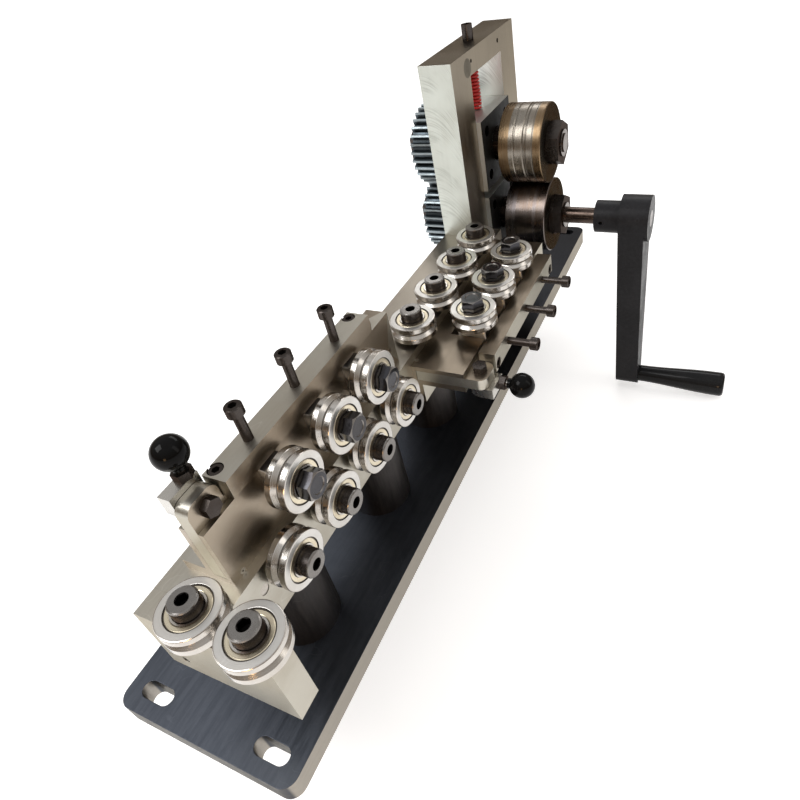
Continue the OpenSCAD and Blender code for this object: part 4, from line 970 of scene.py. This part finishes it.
# %% Screw placing tree
screw_tree = bpy.data.node_groups.new("placed_screws", "GeometryNodeTree")
screw_tree.interface.new_socket("Points", in_out="INPUT", socket_type="NodeSocketGeometry")
add_input(screw_tree, "Seed", "NodeSocketInt", 3)
screw_tree.interface.new_socket("Screw", in_out="INPUT", socket_type="NodeSocketObject")
screw_finishes = ("Body", "Rim", "Socket")
for name in screw_finishes:
    screw_tree.interface.new_socket(name, in_out="INPUT", socket_type="NodeSocketMaterial")
screw_tree.interface.new_socket("Screws", in_out="OUTPUT", socket_type="NodeSocketGeometry")
g_in = screw_tree.nodes.new("NodeGroupInput")
g_out = screw_tree.nodes.new("NodeGroupOutput")
model = screw_tree.nodes.new("GeometryNodeObjectInfo")
aim = screw_tree.nodes.new("GeometryNodeInputNamedAttribute")
aim.data_type = "FLOAT_VECTOR"
aim.inputs["Name"].default_value = "aim"
lean = screw_tree.nodes.new("FunctionNodeAlignRotationToVector")
lean.axis = "Z"
turn = screw_tree.nodes.new("FunctionNodeRandomValue")
turn.data_type = "FLOAT"
turn.inputs["Max"].default_value = math.pi
spin = screw_tree.nodes.new("ShaderNodeCombineXYZ")
upright = screw_tree.nodes.new("GeometryNodeInstanceOnPoints")
twist = screw_tree.nodes.new("GeometryNodeRotateInstances")
realize = screw_tree.nodes.new("GeometryNodeRealizeInstances")
band = screw_tree.nodes.new("GeometryNodeInputNamedAttribute")
band.data_type = "INT"
band.inputs["Name"].default_value = "band"
wire_up(screw_tree,
        (g_in, "Screw", model, "Object"), (g_in, "Seed", turn, "Seed"),
        (aim, "Attribute", lean, "Vector"), (g_in, "Points", upright, "Points"),
        (model, "Geometry", upright, "Instance"), (lean, "Rotation", upright, "Rotation"),
        (turn, "Value", spin, "Z"), (upright, "Instances", twist, "Instances"),
        (spin, "Vector", twist, "Rotation"), (twist, "Instances", realize, "Geometry"))
last = realize
for number, name in enumerate(screw_finishes):
    dress = screw_tree.nodes.new("GeometryNodeSetMaterial")
    chosen = screw_tree.nodes.new("FunctionNodeCompare")
    chosen.data_type = "INT"
    chosen.operation = "EQUAL"
    ports = {port.identifier: port for port in chosen.inputs}
    ports["B_INT"].default_value = number
    screw_tree.links.new(band.outputs["Attribute"], ports["A_INT"])
    wire_up(screw_tree, (chosen, "Result", dress, "Selection"),
            (last, "Geometry", dress, "Geometry"), (g_in, name, dress, "Material"))
    last = dress
wire_up(screw_tree, (last, "Geometry", g_out, "Screws"))
print("screw placing nodes:", len(screw_tree.nodes))

# %% [markdown]
# Two kinds of screw are seen. A socket screw has a round head with a hexagonal hole, and a
# hex bolt has a head that is chamfered at thirty degrees and dished on top, as forged ones
# are. Both are an outline for the turning helper, and their bands come in the order of the
# tree's finishes: body, rim and socket.

# %% Screw shapes
def placed(name, screw, places, finish, seed):
    """Stands copies of a screw on the given (place, direction) pairs."""
    mesh = bpy.data.meshes.new(name + "_places")
    mesh.from_pydata([Vector(p) * mm for p, a in places], [], [])
    aims = mesh.attributes.new("aim", "FLOAT_VECTOR", "POINT")
    aims.data.foreach_set("vector", [x for p, a in places for x in a])
    return grown(name, screw_tree, mesh, Screw=screw, Body=finishes[finish].material,
                 Rim=finishes["screw_rim_highlight"].material, Socket=finishes["socket_dark"].material, Seed=seed)


def socket_screw(name, head_d, head_h, key, shank_d, shank_len):
    """A socket head screw at the origin, its head standing on zero."""
    r = head_d / 2
    return turned(name, [
        (0, -shank_len, "screw_black"), (shank_d / 2, -shank_len, "screw_black"),
        (shank_d / 2, 0, "screw_black"), (r - 0.4, 0, "screw_black"),
        # The rounded top edge and the top face carry the painted highlight.
        (r, 0.4, "screw_black"), (r, head_h - 0.9, "screw_rim_highlight"),
        (r - 0.25, head_h - 0.35, "screw_rim_highlight"), (r - 0.8, head_h, "screw_rim_highlight"),
        # The hexagonal hole is drawn near black, painted shade.
        (key / 2 * 1.22, head_h, "socket_dark"), (hexagon(key), head_h - 0.35, "socket_dark"),
        (hexagon(key), head_h * 0.45, "socket_dark"), (0, head_h * 0.38, "socket_dark")],
        (0, 0, 0), (0, 0, 1), segments=72)


def hex_bolt(name, flats, head_h, shank_d, shank_len):
    """A hex bolt at the origin: 30 degree chamfers and the shallow dish of a forged head."""
    flat_r = flats / 2
    edge = hexagon(flats)

    def under(angle):
        return (edge(angle) - flat_r * 0.97) * 0.5

    def top(angle):
        return head_h - (edge(angle) - flat_r * 0.95) * 0.58
    return turned(name, [
        (0, -shank_len, "bolt_black"), (shank_d / 2, -shank_len, "bolt_black"),
        (shank_d / 2, 0, "bolt_black"), (flat_r * 0.97, 0, "bolt_black"),
        # The chamfer and the rim of the dish carry the painted highlight.
        (edge, under, "bolt_black"), (edge, top, "screw_rim_highlight"),
        (flat_r * 0.94, head_h, "bolt_black"), (flat_r * 0.66, head_h, "screw_rim_highlight"),
        (flat_r * 0.60, head_h - 0.5, "bolt_black"), (flat_r * 0.5, head_h - 0.55, "bolt_black"),
        (0, head_h - 0.5, "bolt_black")], (0, 0, 0), (0, 0, 1), segments=72)


# %% [markdown]
# The moving rollers sit on slides: a ground block, a hub, a washer and a hex bolt. The
# solid's bolt is a plain hexagon, so a copy of the slide loses it and gets the bolt with
# its chamfers. Both banks are alike, only turned, so the same lines serve the two axes.

# %% Roller slides
slide_crease = 28


def cut_copy(name, node, test):
    """A closed copy of a solid without the faces whose middle passes the test."""
    mesh = nodes[node].data.copy()
    mesh.name = name
    shape = bmesh.new()
    shape.from_mesh(mesh)
    bmesh.ops.remove_doubles(shape, verts=shape.verts, dist=weld_gap)
    gone = [face for face in shape.faces if test(face.calc_center_median() / mm)]
    bmesh.ops.delete(shape, geom=gone, context="FACES")
    bmesh.ops.holes_fill(shape, edges=[edge for edge in shape.edges if edge.is_boundary], sides=0)
    shape.to_mesh(mesh)
    shape.free()
    mesh.set_sharp_from_angle(angle=math.radians(slide_crease))
    return in_scene(name, mesh)


hex_model = hex_bolt("hex_bolt_model", flats=13.0, head_h=6.9, shank_d=8.0, shank_len=22.0)
hub_foot, hub_top, hex_seat = -2.0, 12.0, 13.8
washer_bore, washer_top, washer_radius = 4.0, 6.5, 6.75
for side, axis, face in (("upper", 0, rail_right), ("right", 2, rail_top)):
    for i in (1, 2, 3):
        node = f"{side}_slide_{i}"
        block = cut_copy(node + "_block", node, lambda p: p[axis] - face > hub_top + skin)
        block.data.materials.append(finishes["hub_bright"].material)
        block.data.materials.append(finishes["plate_front_reflection"].material)
        for polygon in block.data.polygons:
            if polygon.center[axis] / mm - face > hub_foot:
                polygon.material_index = 1
            elif polygon.normal[axis] > facing:
                # The slide's outward face gets the same browner finish with its painted reflection.
                polygon.material_index = 2
        place, aim, half, radius = thin_axis(f"{side}_roller_{i}")
        seat = place.copy()
        seat[axis] = face + hex_seat
        bolt = placed(node + "_bolt", hex_model, [(tuple(seat), aim)], "bolt_black", i * 3)
        seat[axis] = face + hub_top
        washer = [(washer_bore, 0.0), (washer_top, 0.0), (washer_radius, washer_radius - washer_top),
                  (washer_radius, hex_seat - hub_top), (washer_bore, hex_seat - hub_top)]
        collar = turned(node + "_collar", [(r, a, "screw_black") for r, a in washer],
                        seat, aim, segments=72, hollow=True)
        for piece in (block, bolt, collar):
            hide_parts(node)
            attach(piece, node)
bpy.data.objects.remove(hex_model)
print("dressed slides: 6")

# %% [markdown]
# The fixed rollers and the two at the inlet are held by socket screws. All of them ride on
# the frame, so they are one piece.

# %% Roller screws
cap_screw = socket_screw("cap_screw_model", head_d=13.5, head_h=8.0, key=5.0, shank_d=8.0, shank_len=24.0)
head_seat = 4.0
cap_places = []
for name in roller_nodes:
    if name.startswith(("entry", "lower_roller", "left_roller")):
        place, aim, half, radius = thin_axis(name)
        cap_places.append((tuple(place + Vector(aim) * head_seat), aim))
caps = placed("roller_cap_set", cap_screw, cap_places, "screw_black", 5)
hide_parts("roller_cap_screws")
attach(caps, "frame")
bpy.data.objects.remove(cap_screw)
print("cap screws:", len(cap_places))

# %% [markdown]
# The stand's right face has two small tapped holes over the window and a round plug beside them. They are
# shallow, so a thin disc in each place is enough: the plug is grey, and each hole is a near-black disc whose
# darkness is painted shade, as no hole is cut.

# %% Marks on the stand
stand_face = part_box("drive_frame")[1].x / mm
proud, sunk = 0.03, 0.6
marks = {"stand_plug": (113.2, 218.7, 6.3, "plug_grey"),
         # Each hole is a dark disc on the face, painted shade where no hole is cut.
         "stand_hole_near": (120.8, 221.5, 1.3, "socket_dark"),
         "stand_hole_far": (175.2, 221.3, 1.6, "socket_dark")}
for name, (y, z, radius, finish) in marks.items():
    rings = [(r, a, finish) for r, a in ((0, -sunk), (radius, -sunk), (radius, proud), (0, proud))]
    mark = turned(name, rings, (stand_face, y, z), (1, 0, 0), segments=64)
    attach(mark, "frame")
print("marks on the stand:", len(marks))
